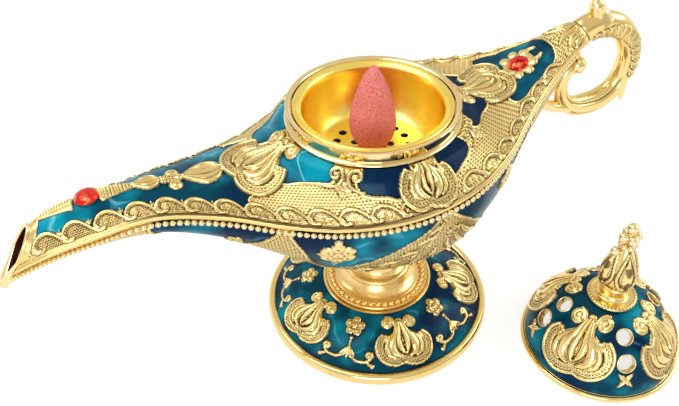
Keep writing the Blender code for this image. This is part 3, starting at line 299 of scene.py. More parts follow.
class Board:
    """Two drawing coordinates over part of a surface, in units of size millimetres."""

    def __init__(self, relief, index, a, b, size):
        self.relief = relief
        self.index = index
        self.a = a
        self.b = b
        self.size = size

    def raise_to(self, height, where, shine):
        """Lifts the surface to a height, in gold, wherever the shape covers it."""
        relief = self.relief
        index = self.index[where]
        height = height[where]
        higher = height > relief.height[index]
        index = index[higher]
        relief.height[index] = height[higher]
        relief.gold[index] = 1.0
        relief.shine[index] = shine
        relief.dark[index] = 0.0

    def add(self, height, where, dark=0.0):
        """Adds to the height and deepens the painted shade to at least the amount given, where a mask says
        so.
        """
        relief = self.relief
        index = self.index[where]
        relief.height[index] += height[where]
        relief.dark[index] = np.maximum(relief.dark[index], dark)

    def sink(self, share, depth, dark):
        """A round hollow with painted shade in it, from its bottom at a share of nil to its edge at one."""
        form = np.clip(1.0 - share**2, 0.0, 1.0)
        where = share < 1.0
        self.add(-depth * form, where, dark * form[where])

    def stroke(self, points, width, height, base=0.0, shine=0.5, power=0.5, smooth=True, rope=0.0,
               pitch=1.0):
        """A raised line; width is one half width or one for each point."""
        widths = np.broadcast_to(np.asarray(width, dtype=float), (len(points),))
        line = drawn(np.column_stack([np.array(points, dtype=float), widths]), smooth)
        line[:, 2] = np.maximum(line[:, 2], THINNEST)
        gap, along, half = line_distance(self.a, self.b, line)
        share = gap / half
        form = np.clip(1.0 - share**2, 0.0, 1.0)**power
        level = base + height * form
        if rope > 0.0:
            level = level + rope * np.sin(2.0 * math.pi * along * self.size / pitch) * form
        self.raise_to(level, share < 1.0, shine)
        return share

    def grains(self, share, pitch, depth):
        """Rows of pits with painted shade in them over the middle of a stroke."""
        gap = hex_pits(self.a * self.size, self.b * self.size, pitch)
        pit = np.clip(1.0 - (gap / 0.32)**2, 0.0, 1.0)
        where = (share < 0.74) & (pit > 0.05)
        self.add(-depth * pit, where, 0.9 * pit[where])

    def beads(self, points, radius, pitch, height, base=0.0, smooth=True, dark=0.0):
        """Small round grains along a line; a negative height sinks them, with the painted shade given."""
        gap, along, _ = line_distance(self.a, self.b, drawn(points, smooth))
        phase = (along / pitch + 0.5) % 1.0 - 0.5
        reach = np.hypot(gap, phase * pitch) / radius
        form = np.sqrt(np.clip(1.0 - reach**2, 0.0, 1.0))
        if height < 0.0:
            self.add(height * form, reach < 1.0, dark)
        else:
            self.raise_to(base + height * form, reach < 1.0, 0.4)

    def pit(self, x, y, radius, depth):
        """A small round hollow with painted shade in it."""
        self.sink(np.hypot(self.a - x, self.b - y) / radius, depth, PIT_SHADE)

    def groove(self, points, width, depth, dark=PIT_SHADE, smooth=True):
        """A line cut into the surface, with painted shade in it."""
        share = line_distance(self.a, self.b, drawn(points, smooth))[0] / width
        self.sink(share, depth, dark)

    def dome(self, x, y, radius, height, base=0.0, shine=0.8):
        """A round boss."""
        reach = np.hypot(self.a - x, self.b - y) / radius
        form = np.sqrt(np.clip(1.0 - reach**2, 0.0, 1.0))
        self.raise_to(base + height * form, reach < 1.0, shine)

    def plateau(self, points, height, bevel, shine=0.3):
        """A flat raised shape inside a closed curve, rounded off over a bevel."""
        gap = polygon_distance(self.a, self.b, smooth_line(points, 5, closed=True))
        rise = np.clip(-gap / bevel, 0.0, 1.0)
        self.raise_to(height * np.sqrt(rise * (2.0 - rise)), gap < 0.0, shine)

    def volute(self, x, y, radius, height, base=0.0, hand=1.0, start=0.0, turns=1.35, width=0.3):
        """A spiral scroll around a small boss."""
        angles = start + hand * np.linspace(0.0, 2.0 * math.pi * turns, 22)
        reach = radius * np.linspace(1.0, 0.3, 22)
        points = np.column_stack([x + reach * np.cos(angles), y + reach * np.sin(angles)])
        self.dome(x, y, radius * 0.34, height, base)
        self.stroke(points, radius * width, height * 0.8, base, smooth=False)


# The palmette's parts, drawn one unit wide with the neck at the top
PALMETTE_FIELD = [
    (-0.1, 0.98), (-0.14, 0.8), (-0.28, 0.66), (-0.42, 0.56), (-0.47, 0.36), (-0.38, 0.17),
    (-0.17, 0.06), (0.05, 0.12), (0.3, 0.14), (0.48, 0.26), (0.54, 0.46), (0.46, 0.66), (0.3, 0.72),
    (0.15, 0.82), (0.1, 0.98),
]
PALMETTE_CURLS = ((-0.24, 0.93, -1.0), (0.235, 1.0, 1.0))
PALMETTE_BANDS = [
    [(-0.335, 0.545), (-0.38, 0.605), (-0.445, 0.54), (-0.475, 0.4), (-0.435, 0.23), (-0.33, 0.12),
     (-0.18, 0.07), (-0.04, 0.095), (0.07, 0.15)],
    [(0.325, 0.635), (0.38, 0.7), (0.46, 0.64), (0.525, 0.52), (0.53, 0.37), (0.46, 0.235), (0.34, 0.155),
     (0.22, 0.135), (0.12, 0.165)],
]
BAND_WIDTHS = [0.05, 0.062, 0.07, 0.08, 0.086, 0.088, 0.086, 0.076, 0.06]
PALMETTE_CRESCENTS = [
    [(-0.18, 0.68), (-0.29, 0.55), (-0.345, 0.4), (-0.31, 0.26), (-0.2, 0.18)],
    [(0.21, 0.72), (0.33, 0.6), (0.4, 0.44), (0.37, 0.3), (0.26, 0.22)],
]
PALMETTE_PETALS = [
    [(-0.06, 0.93), (-0.11, 0.72), (-0.19, 0.53), (-0.215, 0.38), (-0.16, 0.26), (-0.06, 0.2)],
    [(0.07, 0.93), (0.14, 0.73), (0.235, 0.56), (0.275, 0.42), (0.225, 0.29), (0.12, 0.22)],
]
PALMETTE_RIDGES = [
    [(-0.015, 0.95), (-0.04, 0.72), (-0.06, 0.52), (-0.035, 0.36), (0.01, 0.27)],
    [(0.03, 0.95), (0.07, 0.72), (0.115, 0.54), (0.1, 0.38), (0.045, 0.28)],
]


def outline_of(line, half):
    """A line moved sideways by half, on the left of its course."""
    line = smooth_line(line, 3)
    course = np.gradient(line[:, :2], axis=0)
    course /= np.linalg.norm(course, axis=1, keepdims=True)
    return line[:, :2] + half * np.column_stack([-course[:, 1], course[:, 0]])


def palmette(board, lift):
    """A split palmette one unit wide and long in raised metal: two grained bands hooked at
    their ends, smooth petals around a keeled leaf inside, and tight curls beside the neck."""
    grain = 1.0 / board.size
    board.plateau(PALMETTE_FIELD, 0.4 * lift, 0.05, 0.5)
    for x, y, side in PALMETTE_CURLS:
        board.dome(x, y, 0.125, 0.3 * lift, 0.2 * lift, 0.5)
        start = 0.0 if side < 0.0 else math.pi
        board.volute(x, y, 0.09, 0.42 * lift, 0.42 * lift, -side, start, 1.25, 0.3)
        board.stroke([(side * 0.05, 0.76), (side * 0.09, 0.9), (x - side * 0.06, y + 0.1), (x, y + 0.12)],
                     [0.03, 0.035, 0.04, 0.03], 0.34 * lift, 0.42 * lift, 0.6)
    board.stroke([(0.0, 0.8), (0.0, 0.98)], [0.05, 0.075], 0.3 * lift, 0.42 * lift, 0.5, smooth=False)
    for line, hand in zip(PALMETTE_BANDS, (1.0, -1.0)):
        share = board.stroke(line, BAND_WIDTHS, 0.34 * lift, 0.34 * lift, 0.2, 0.3)
        board.grains(share, 0.78, 0.16)
        board.stroke(outline_of(line[1:], hand * -0.078), 0.024, 0.36 * lift, 0.66 * lift, 0.7, smooth=False)
        board.beads(line[1:], 0.24 * grain, 0.95 * grain, -0.16, smooth=False, dark=0.85)
        board.groove(outline_of(line[2:-1], hand * 0.082), 0.026, 0.3 * lift, 0.95, smooth=False)
        x, y = line[0]
        board.dome(x, y, 0.085, 0.4 * lift, 0.3 * lift, 0.6)
        board.volute(x, y, 0.07, 0.34 * lift, 0.5 * lift, -hand, 0.5 * math.pi, 1.0, 0.34)
    for line in PALMETTE_CRESCENTS:
        board.stroke(line, [0.02, 0.034, 0.042, 0.04, 0.022], 0.4 * lift, 0.5 * lift, 0.7, 0.6)
    for line, side in zip(PALMETTE_PETALS, (-1.0, 1.0)):
        board.stroke(line, [0.03, 0.055, 0.078, 0.082, 0.066, 0.03], 0.62 * lift, 0.46 * lift, 0.8, 0.7)
        notches = outline_of(line[1:5], side * -0.052)
        board.beads(notches, 0.17 * grain, 0.5 * grain, -0.16, smooth=False, dark=0.8)
    for line in PALMETTE_RIDGES:
        board.stroke(line, [0.028, 0.045, 0.056, 0.046, 0.022], 0.66 * lift, 0.52 * lift, 0.7, 0.7)
    spine = [(0.005, 0.76), (0.015, 0.6), (0.03, 0.38)]
    board.beads(spine, 0.2 * grain, 0.52 * grain, -0.2, smooth=False, dark=0.9)
    board.pit(0.035, 0.31, 0.035, 0.3)


def flower(board, petals, lift):
    """A small flower one unit across, each petal a ring round a boss."""
    for step in range(petals):
        angle = 2.0 * math.pi * step / petals + math.pi / 2.0
        x, y = 0.31 * math.cos(angle), 0.31 * math.sin(angle)
        board.dome(x, y, 0.205, 0.6 * lift, 0.2 * lift, 0.6)
        ring = [(x + 0.125 * math.cos(turn), y + 0.125 * math.sin(turn))
                for turn in np.linspace(0.0, 6.28, 9)]
        board.groove(ring, 0.035, 0.16 * lift, 0.75, smooth=False)
    board.dome(0.0, 0.0, 0.13, 0.5 * lift, 0.5 * lift, 0.8)
    for step in range(petals):
        angle = 2.0 * math.pi * (step + 0.5) / petals + math.pi / 2.0
        board.pit(0.16 * math.cos(angle), 0.16 * math.sin(angle), 0.045, 0.2 * lift)


def leaf_spray(board, leaves, length, height, spread):
    """Narrow leaves fanned out from the origin, upwards."""
    for step in range(leaves):
        angle = math.pi / 2.0 + spread * (step - (leaves - 1) / 2.0)
        reach = length * (1.0 - 0.12 * abs(step - (leaves - 1) / 2.0))
        tip = (reach * math.cos(angle), reach * math.sin(angle))
        middle = (0.5 * tip[0], 0.5 * tip[1])
        board.stroke([(0.0, 0.0), middle, tip], [0.05 * length, 0.17 * length, 0.03 * length], height,
                     smooth=False, power=0.7)


def hex_pits(u, v, pitch):
    """Distance to the nearest point of a lattice of equal triangles."""
    row = pitch * math.sqrt(3.0) / 2.0
    best = np.full(np.shape(u), 1e9)
    base = np.floor(v / row)
    for extra in (0, 1):
        line = base + extra
        shift = 0.5 * pitch * (line % 2.0)
        column = np.round((u - shift) / pitch) * pitch + shift
        best = np.minimum(best, np.hypot(u - column, v - line * row))
    return best


def box_blur(field, reach):
    """A blur of a grid field over reach points each way, done twice."""
    for _ in range(2):
        for axis in (0, 1):
            count = field.shape[axis]
            padded = np.concatenate([np.take(field, [0] * (reach + 1), axis), field,
                                     np.take(field, [count - 1] * reach, axis)], axis)
            total = np.cumsum(padded, axis=axis)
            high = np.take(total, np.arange(2 * reach + 1, 2 * reach + 1 + count), axis)
            low = np.take(total, np.arange(0, count), axis)
            field = (high - low) / (2 * reach + 1)
    return field


# Depth below its surroundings at which a point counts as a full hollow, in full painted shade
FULL_HOLLOW = 0.13


def shade_and_highlight_fields(relief, shape):
    """The fields that the materials read: painted shade in hollows and on the enamel beside the gold,
    painted highlights on raised edges, and the enamel's painted light and shade.
    """
    height = relief.height.reshape(shape)
    # Painted shade where a point lies below its surroundings, painted highlight where it stands above them
    hollow = (box_blur(height, 1) - height).ravel() / FULL_HOLLOW
    gold = np.clip(relief.gold, 0.0, 1.0)
    # Painted shade on the enamel beside the gold, as dark outlines
    beside = 2.4 * box_blur(gold.reshape(shape), 2).ravel() - 0.3
    dark = np.where(gold < 0.5, beside, np.maximum(hollow, relief.dark))
    return {
        "gold": gold,
        "hollow": np.clip(dark, 0.0, 1.0),
        "edge": np.clip(-hollow, 0.0, 1.0),
        "shine": relief.shine,
        "tone": relief.tone,
    }


# Depth and height of the cast edge along the seam, of the upper half and of the lower
UPPER_DEPTH = 0.9
UPPER_RISE = 2.2
LOWER_DEPTH = 1.3
LOWER_RISE = 2.1
# The edge's largest share of the body's half width, near the ends
END_SHARE = 0.3
# Radius of the flat seat under the collar, and the width over which the dome rises to it
COLLAR_SEAT_REACH = 30.8
COLLAR_SEAT_BLEND = 5.5


def end_scale(half):
    """How far the edges of the seam shrink where the body is narrow."""
    return np.minimum(1.0, END_SHARE * half / UPPER_DEPTH)


def dome_skin(x, share, inset=0.0):
    """Sideways place and height of the upper skin, for columns x and rows of share."""
    half, ridge, crest, _ = body_rows(x)
    scale = end_scale(half)
    spring = (ridge + UPPER_RISE * scale)[:, None]
    width = (half - UPPER_DEPTH * scale)[:, None] - inset
    fall = (1.0 - share[None, :]**2)**0.8
    y = share[None, :] * width
    z = spring + ((crest[:, None] - inset) - spring) * fall
    reach = np.hypot(np.asarray(x)[:, None] - COLLAR_X, y)
    t = smoothstep(0.0, 1.0, (COLLAR_SEAT_REACH - reach) / COLLAR_SEAT_BLEND)
    return y, z * (1.0 - t) + (COLLAR_SEAT_Z - inset) * t


def hull_skin(x, share, inset=0.0):
    """The same for the lower skin, whose share runs by angle."""
    half, ridge, _, keel = body_rows(x)
    scale = end_scale(half)
    spring = (ridge - LOWER_RISE * scale)[:, None]
    angle = share[None, :] * math.pi / 2.0
    width = (half - LOWER_DEPTH * scale)[:, None] - inset
    fall = np.maximum(np.cos(angle), 0.0)**0.9
    return np.sin(angle) * width, spring - (spring - keel[:, None] - inset) * fall


def section_table(x, skin, edge, depth, height, facing, columns):
    """Points around half of the body at each place along it, evenly spread, and their
    distance from the seam; the first and last columns turn in under the seam."""
    half, ridge = body_rows(x)[:2]
    scale = end_scale(half)
    seam = ridge + facing * 0.15
    theta = np.sin(np.linspace(-math.pi / 2.0, math.pi / 2.0, 261))
    y, z = skin(x, theta)
    lip = [(1.3, 0.0)] + edge
    side_y = np.stack([-(half - inward * depth * scale) for inward, rise in lip], axis=1)
    side_z = np.stack([seam + facing * rise * height * scale for inward, rise in lip], axis=1)
    y = np.concatenate([side_y, y[:, 1:-1], -side_y[:, ::-1]], axis=1)
    z = np.concatenate([side_z, z[:, 1:-1], side_z[:, ::-1]], axis=1)
    travel = np.concatenate([np.zeros((len(x), 1)),
                             np.cumsum(np.hypot(np.diff(y, axis=1), np.diff(z, axis=1)), axis=1)], axis=1)
    out = np.empty((len(x), columns, 4))
    out[:, :, 0] = np.asarray(x)[:, None]
    for row in range(len(x)):
        places = np.linspace(0.0, travel[row, -1], columns)
        out[row, :, 1] = np.interp(places, travel[row], y[row])
        out[row, :, 2] = np.interp(places, travel[row], z[row])
        start = travel[row, 1]
        out[row, :, 3] = np.minimum(places, travel[row, -1] - places) - start
    return out


def mouth_place(z):
    """Where the slanted mouth cuts, along the lamp, at a height."""
    slope = (MOUTH_TOP[0] - MOUTH_TIP[0]) / (MOUTH_TOP[1] - MOUTH_TIP[1])
    return MOUTH_TIP[0] + (z - MOUTH_TIP[1]) * slope


def trimmed_grid(skin, edge, depth, height, facing, rows, columns):
    """A grid over half of the body that starts on the slanted mouth."""
    first, last = BODY_ROWS[0][0], BODY_ROWS[-1][0]
    fine = np.linspace(first, last, 1400)
    table = section_table(fine, skin, edge, depth, height, facing, columns)
    past = table[:, :, 0] - mouth_place(table[:, :, 2])
    start = np.full(columns, first)
    for column in range(columns):
        outside = np.nonzero(past[:, column] < 0.0)[0]
        if len(outside) and outside[-1] + 1 < len(fine):
            low = outside[-1]
            t = -past[low, column] / (past[low + 1, column] - past[low, column])
            start[column] = fine[low] + (fine[low + 1] - fine[low]) * t
    nominal = np.linspace(first, last, rows)[:, None]
    blend = 1.0 - smoothstep(0.0, 30.0, nominal - first)
    x = nominal + (start[None, :] - first) * blend
    place = (x - first) / (last - first) * (len(fine) - 1)
    low = np.clip(place.astype(int), 0, len(fine) - 2)
    t = (place - low)[:, :, None]
    column = np.arange(columns)[None, :]
    return table[low, column] * (1.0 - t) + table[low + 1, column] * t


# Outlines of the cast edges, in shares of their depth and height
UPPER_EDGE = [(0.4, 0.0), (0.1, 0.12), (0.0, 0.3), (0.0, 0.65), (0.15, 0.84), (0.45, 0.95), (1.0, 1.0)]
LOWER_EDGE = [(0.45, 0.0), (0.75, 0.12), (0.85, 0.3), (0.85, 0.7), (0.9, 0.9), (1.0, 1.0)]

# Places of the waves' tops along the lamp
WAVE_TOPS = (-95.2, -87.7, -79.6, -71.7, -64.0, -56.7, -49.6, -42.4, -35.2, -27.9, -20.6, -13.1, -5.6,
             12.3, 19.6, 26.3, 32.7, 38.9, 45.0, 51.0)
# Height of the smooth rail over the seam
RAIL = 2.5
WAVE_ARC = [(-0.5, 0.2), (-0.47, 0.56), (-0.34, 0.86), (-0.12, 1.0), (0.12, 0.95), (0.34, 0.7),
            (0.54, 0.36), (0.78, 0.04)]
WAVE_ARC_WIDTHS = [0.18, 0.3, 0.38, 0.42, 0.4, 0.36, 0.3, 0.18]
WAVE_HEAD = [(-0.45, 0.52), (-0.41, 0.26), (-0.29, 0.12), (-0.15, 0.22)]
WAVE_INSIDE = [(-0.33, 0.42), (-0.3, 0.62), (-0.16, 0.8), (0.02, 0.83), (0.22, 0.64), (0.42, 0.3)]
WAVE_FOOT = [(-0.36, -0.02), (-0.22, 0.04), (-0.1, 0.14)]


def wave_size(top):
    """Length and height of the wave whose top is at a place along the lamp."""
    tall = np.interp(top, [-99.0, -90.0, -72.0, -56.0, -40.0, 0.0, 20.0, 40.0, 55.0],
                     [4.6, 5.2, 4.3, 4.4, 4.7, 4.9, 4.7, 4.1, 3.2])
    return (7.4 if top < 20.0 else 6.6), float(tall)


def wave_row(x, s, relief, index):
    """Running waves over the rail, each with a smooth curled head and a cluster of pits."""
    for top in WAVE_TOPS:
        pitch, tall = wave_size(top)

        def spread(points, rise=0.0):
            return [(px * pitch, py * tall + rise) for px, py in points]

        near = np.nonzero(abs(x - top - 1.0) < 8.0)[0]
        local = Board(relief, index[near], (x[near] - top), (s[near] - RAIL), 1.0)
        local.stroke(spread(WAVE_ARC), WAVE_ARC_WIDTHS, 0.42, 0.1, 0.4, 0.4)
        local.stroke(spread(WAVE_HEAD), [0.3, 0.68, 0.74, 0.34], 0.5, 0.1, 0.7)
        local.groove(spread(WAVE_INSIDE), 0.2, 0.16, 0.95)
        local.groove(spread(WAVE_ARC[1:-1], 0.62), 0.13, 0.14, 0.8)
        local.groove(spread(WAVE_FOOT), 0.16, 0.12, 0.8)
        for step in range(10):
            ring = (step > 0) + (step > 6)
            angle = math.pi / 3.0 * step + (ring > 1) * math.pi / 6.0
            away = (0.0, 0.8, 1.35)[ring]
            local.pit(0.12 * pitch + away * math.cos(angle), 0.44 * tall + 0.85 * away * math.sin(angle),
                      0.27, 0.2)


def wave_line(x):
    """Height of the waves' outline above the rail, along the lamp."""
    shape = smooth_line(WAVE_ARC, 6)
    shape = shape[np.argsort(shape[:, 0])]
    line = np.zeros_like(x)
    for top in WAVE_TOPS:
        pitch, tall = wave_size(top)
        level = np.interp((x - top) / pitch, shape[:, 0], shape[:, 1], left=0.0, right=0.0)
        line = np.maximum(line, level * tall)
    return line


# Enamel panels on one side, as places along the lamp and across it
SHELL_PANELS = [
    # Beside the front palmette and the collar, spout side
    [(-34.6, 3.4), (-26.0, 3.4), (-24.0, 9.0), (-20.6, 15.0), (-21.6, 18.0), (-22.6, 20.0), (-24.4, 19.9),
     (-27.3, 17.3), (-30.7, 14.8), (-34.6, 12.8), (-36.5, 8.0)],
    # Under the collar, near the middle
    [(-15.2, 21.0), (-10.0, 22.6), (-4.0, 23.6), (-3.6, 26.0), (-4.6, 30.4), (-8.4, 30.9), (-11.8, 29.3),
     (-15.2, 27.8), (-17.9, 25.8), (-18.4, 23.6), (-16.4, 22.6)],
    # Between the side palmette and the tail's scrolls
    [(13.0, 18.6), (15.6, 22.6), (14.6, 25.2), (11.5, 27.8), (7.6, 30.2), (5.2, 28.6), (3.2, 27.0),
     (4.0, 23.4), (9.0, 21.0)],
    # Beside the rear palmette and the collar
    [(19.6, 8.4), (23.0, 3.4), (29.6, 2.4), (32.0, 6.0), (30.4, 9.0), (26.8, 12.0), (24.0, 15.8),
     (21.6, 17.8), (20.0, 16.0), (20.6, 12.6)],
]
SPOUT_PANEL = [(-97.6, 0.0), (-97.2, 6.0), (-70.0, 9.5), (-52.0, 15.5), (-44.6, 19.0), (-44.2, 12.9),
               (-41.2, 12.0), (-36.0, 9.0), (-36.0, 0.0)]
TAIL_PANEL = [(36.0, 0.0), (37.0, 11.6), (40.6, 12.4), (44.2, 10.4), (47.5, 9.4), (50.0, 8.4), (54.0, 6.4),
              (55.4, 3.4), (55.6, 0.0)]

# Painted pools of light and shade on the enamel of the upper half: place along, place across, reach, tone
PAINTED_LIGHT_POOLS = [
    (-93.0, 4.0, 8.0, 1.7), (-66.0, 5.0, 9.0, 0.35), (-46.0, 14.0, 8.0, 0.5), (-30.0, 10.0, 8.0, 1.0),
    (-24.5, 17.0, 4.0, 0.6), (-8.0, 27.0, 11.0, -0.9), (9.0, 26.0, 9.0, -0.7), (25.0, 10.0, 10.0, -0.6),
    (49.0, 4.0, 8.0, 0.3),
]


def doubled(half):
    """A ring drawn on one side of a middle line, completed on the other."""
    return half + [(x, -y) for x, y in half[::-1] if y != 0.0]


def panel_gap(x, y, ring):
    """Signed distance to a panel that is mirrored over the lamp's middle plane."""
    if ring[0][1] == 0.0:
        return polygon_distance(x, y, smooth_line(doubled(ring), 4, closed=True))
    return polygon_distance(x, abs(y), smooth_line(ring, 5, closed=True))


# Width of the plain band behind the mouth, and how far the enamel lies below the gold
MOUTH_BAND = 1.9
ENAMEL_DEPTH = 0.16
TAIL_LEAVES = (
    ((64.0, 0.6), (60.4, 1.2), (57.2, 3.2)), ((64.4, 2.4), (61.4, 3.4), (59.4, 5.2)),
    ((64.6, 4.2), (62.6, 5.2), (61.6, 6.6)),
)


def upper_relief(grid, normals):
    """Ground, panels, rail, waves and tail leaves of the upper half."""
    relief = Relief(grid[:, :, :3], normals)
    x, y, z = relief.points.T
    s = grid[:, :, 3].ravel()
    far = 3.4 * np.maximum(smoothstep(-36.0, -50.0, x), 0.6 * smoothstep(32.0, 40.0, x))
    low_s = s + np.where(y > 0.0, far, 0.0)
    relief.gold[:] = 1.0
    height = relief.height
    reach = np.hypot(x - COLLAR_X, y)

    # Granulated ground with rows of pits, with painted shade in the pits
    pits = hex_pits(x * 0.97 + 0.26 * abs(y), s * 1.02, 0.98)
    ground = np.clip(1.0 - (pits / 0.34)**2, 0.0, 1.0)
    open_ground = (s > RAIL + 0.2)
    height[:] = np.where(open_ground, 0.06 - 0.26 * ground, 0.0)
    # Painted shade in the pits
    relief.dark[:] = np.where(open_ground, 0.85 * ground, 0.0)

    # Stippled ground behind the waves, in painted shade that is lighter on the grains and deeper near the
    # rail forward of the collar and over the spout's end
    outline = wave_line(x)
    under = open_ground & (low_s < RAIL + outline)
    grains = hex_pits(x, s + 0.1, 0.66)
    stipple = np.clip(1.4 - 1.4 * (grains / 0.34)**2, 0.0, 1.0)
    height[under] = -0.18 + 0.22 * stipple[under]
    painted_shade_zone = smoothstep(4.0, -16.0, x) * (1.0 - smoothstep(1.0, 3.2, s - RAIL))
    painted_shade_zone = np.maximum(painted_shade_zone, 0.9 * smoothstep(-70.0, -84.0, x))
    # Painted shade behind the waves
    relief.paint(under, dark=(0.1 + 0.9 * painted_shade_zone[under]) * (1.0 - 0.72 * stipple[under]), shine=0.4)

    # Enamel panels with a bright raised line around each
    enamel = np.zeros(len(x), dtype=bool)
    ends = [panel_gap(x, y, ring) for ring in (SPOUT_PANEL, TAIL_PANEL)]
    for gap in ends:
        enamel |= (gap < 0.0) & (low_s > RAIL + outline)
    rims = np.full(len(x), 1e9)
    near = reach < 36.0
    for ring in SHELL_PANELS:
        gap = np.full(len(x), 1e9)
        gap[near] = panel_gap(x[near], y[near], ring)
        rims = np.minimum(rims, abs(gap + 0.15))
        enamel |= gap < -0.1
    for gap in ends:
        edge = np.where((low_s > RAIL + outline + 0.3) & (s > RAIL + 0.3), abs(gap), 1e9)
        rims = np.minimum(rims, edge)
    height[enamel] = -ENAMEL_DEPTH
    relief.paint(enamel, gold=0.0, dark=0.0)
    line = rims < 0.3
    height[line] = np.maximum(height[line], 0.36 * np.sqrt(1.0 - (rims[line] / 0.3)**2))
    relief.paint(line, gold=1.0, dark=0.0, shine=0.6)

    # Plain band behind the mouth
    band = (x - mouth_place(z) < MOUTH_BAND) & (s > RAIL)
    height[band] = 0.0
    relief.paint(band, gold=1.0, dark=0.0, shine=0.7)

    # Painted light and shade: pools that lighten or darken the enamel
    for place, across, size, tone in PAINTED_LIGHT_POOLS:
        relief.tone += tone * np.exp(-((x - place)**2 + (abs(y) - across)**2) / size**2)

    # Smooth rail over the seam, with a groove, and a painted dark reflection along its upper part from the
    # collar to the middle of the spout
    rail = s < RAIL
    painted_reflection_streak = smoothstep(0.9, 1.9, s) * smoothstep(10.0, -16.0, x) * (1.0 - smoothstep(-66.0, -84.0, x))
    relief.paint(rail, dark=0.9 * painted_reflection_streak[rail], shine=0.9)
    height[:] -= 0.22 * np.exp(-((s - 1.55) / 0.16)**2)
    height[:] -= 0.2 * np.exp(-((s - RAIL - 0.05) / 0.18)**2)

    # Leaves in relief where the handle joins
    tail = np.nonzero((x > 54.0) & (s > RAIL + 0.4))[0]
    cap = Board(relief, tail, x[tail], y[tail], 1.0)
    for side in (-1.0, 1.0):
        for leaf in TAIL_LEAVES:
            leaf = [(px, side * py) for px, py in leaf]
            cap.stroke(leaf, [0.7, 0.95, 0.3], 0.6, 0.05, 0.6, 0.6)
            cap.beads(leaf[:2], 0.2, 0.55, -0.2, dark=0.8)
        cap.volute(58.8, side * 5.6, 1.1, 0.5, 0.1, side, 0.0, 1.2, 0.32)
    cap.beads([(57.0, 0.0), (61.0, 0.0), (64.8, 0.0)], 0.45, 0.95, 0.5, 0.1)
    # A groove at the tail's end, with painted shade in it
    end = np.exp(-((x - 65.0) / 0.25)**2) * (s > RAIL)
    height[:] -= 0.2 * end
    relief.dark[:] = np.maximum(relief.dark, 0.8 * end)

    low = (s > RAIL + 0.1) & (s < RAIL + 7.5) & (x - mouth_place(z) > MOUTH_BAND) & (x < 62.2)
    low = np.nonzero(low)[0]
    wave_row(x[low], low_s[low], relief, low)
    return relief


def on_body(x, y):
    """A point in plan, lifted to about the height of the body's skin."""
    half, ridge, crest = [float(v[0]) for v in body_rows([x])[:3]]
    share = min(abs(y) / half, 0.999)
    return (x, y, ridge + UPPER_RISE + (crest - ridge - UPPER_RISE) * (1.0 - share**2)**0.8)


# Radius of the hole under the collar, and the height over which only the collar's seat lies
COLLAR_HOLE = 24.2
SEAT_HEIGHT = 70.0


def build_upper(material):
    """The upper half, with its round hole under the collar."""
    rows, columns = 620, 300
    grid = trimmed_grid(dome_skin, UPPER_EDGE, UPPER_DEPTH, UPPER_RISE, 1.0, rows, columns)
    normals = grid_normals(grid[:, :, :3], flip=True)
    relief = upper_relief(grid, normals)
    upper_stamps(relief)
    x, y, z = relief.points.T
    reach = np.hypot(x - COLLAR_X, y)
    quiet = smoothstep(25.4, 26.4, reach)
    smoothed = relief.height * quiet + 0.1 * (1.0 - quiet)
    relief.height = np.where(z > SEAT_HEIGHT, smoothed, relief.height)
    points, fields = relief.raised((rows, columns))
    snap = (reach < COLLAR_HOLE) & (z > SEAT_HEIGHT)
    direction = np.column_stack([x - COLLAR_X, y]) / np.maximum(reach, 1e-6)[:, None]
    faces = grid_faces(rows, columns, flip=True)
    faces = faces[~snap[faces].all(axis=1)]
    points[snap, 0] = COLLAR_X + COLLAR_HOLE * direction[snap, 0]
    points[snap, 1] = COLLAR_HOLE * direction[snap, 1]
    points, faces, fields = keep_used(points, [faces], fields)
    return mesh_piece("upper_shell_cast", points, faces, fields, material)


# The chain's long beads: start, length and half width, and the outline of one side
CHAIN_BEADS = ((0.0, 7.4, 2.5), (13.2, 11.2, 4.3))
CHAIN_BEAD = [(0.0, 0.0), (0.3, 0.6), (0.62, 1.0), (0.86, 0.78), (1.0, 0.2)]
CHAIN_FLUTE = [(0.02, 0.1), (0.3, 0.62), (0.62, 1.0), (0.86, 0.74), (1.0, 0.22)]


def crest_chain(board):
    """The chain of beads and grained links along the spout's crest."""
    board.plateau(doubled([(-25.0, 0.0), (-22.0, 1.1), (-17.0, 1.9), (-15.0, 2.0)]), 0.5, 0.5, 0.2)
    for offset in (-0.9, 0.0, 0.9):
        board.beads([(-22.5, offset * 0.6), (-15.2, offset * 1.3)], 0.34, 0.72, 0.3, 0.42, smooth=False)
    link = [(-8.0, 2.3), (-5.0, 2.1), (-2.0, 1.5), (0.8, 0.8)]
    board.plateau(doubled(link), 0.4, 0.5, 0.3)
    for share in (-0.8, -0.4, 0.0, 0.4, 0.8):
        board.beads([(-7.8, share * 2.3), (-2.0, share * 1.5), (0.6, share * 0.8)], 0.38, 0.78, 0.38, 0.32)
    for start, length, half in CHAIN_BEADS:
        ring = [(start + px * length, py * half) for px, py in doubled(CHAIN_BEAD)]
        board.plateau(ring, 0.32, 0.5, 0.5)
        wide = 0.17 * half
        for share in (-0.86, 0.86, -0.45, 0.45, 0.0):
            line = [(start + px * length, share * py * half) for px, py in CHAIN_FLUTE]
            board.stroke(line, [0.16, 0.8 * wide, wide, 0.85 * wide, 0.2], 0.62,
                         0.3 + 0.3 * (1.0 - abs(share)), 0.6, 0.7)
    for x, radius in ((8.3, 0.85), (12.6, 1.2)):
        board.dome(x, 0.0, radius, 0.7, 0.3, 0.6)
    for side in (-1.0, 1.0):
        board.dome(11.3, side * 2.5, 1.75, 0.4, 0.2, 0.5)
        board.volute(11.3, side * 2.5, 1.25, 0.5, 0.4, side, math.pi, 1.2, 0.34)
    for share in (-1.0, 0.0, 1.0):
        board.beads([(8.0, share * 0.9), (11.8, share * 1.1)], 0.42, 0.84, 0.42, 0.4, smooth=False)


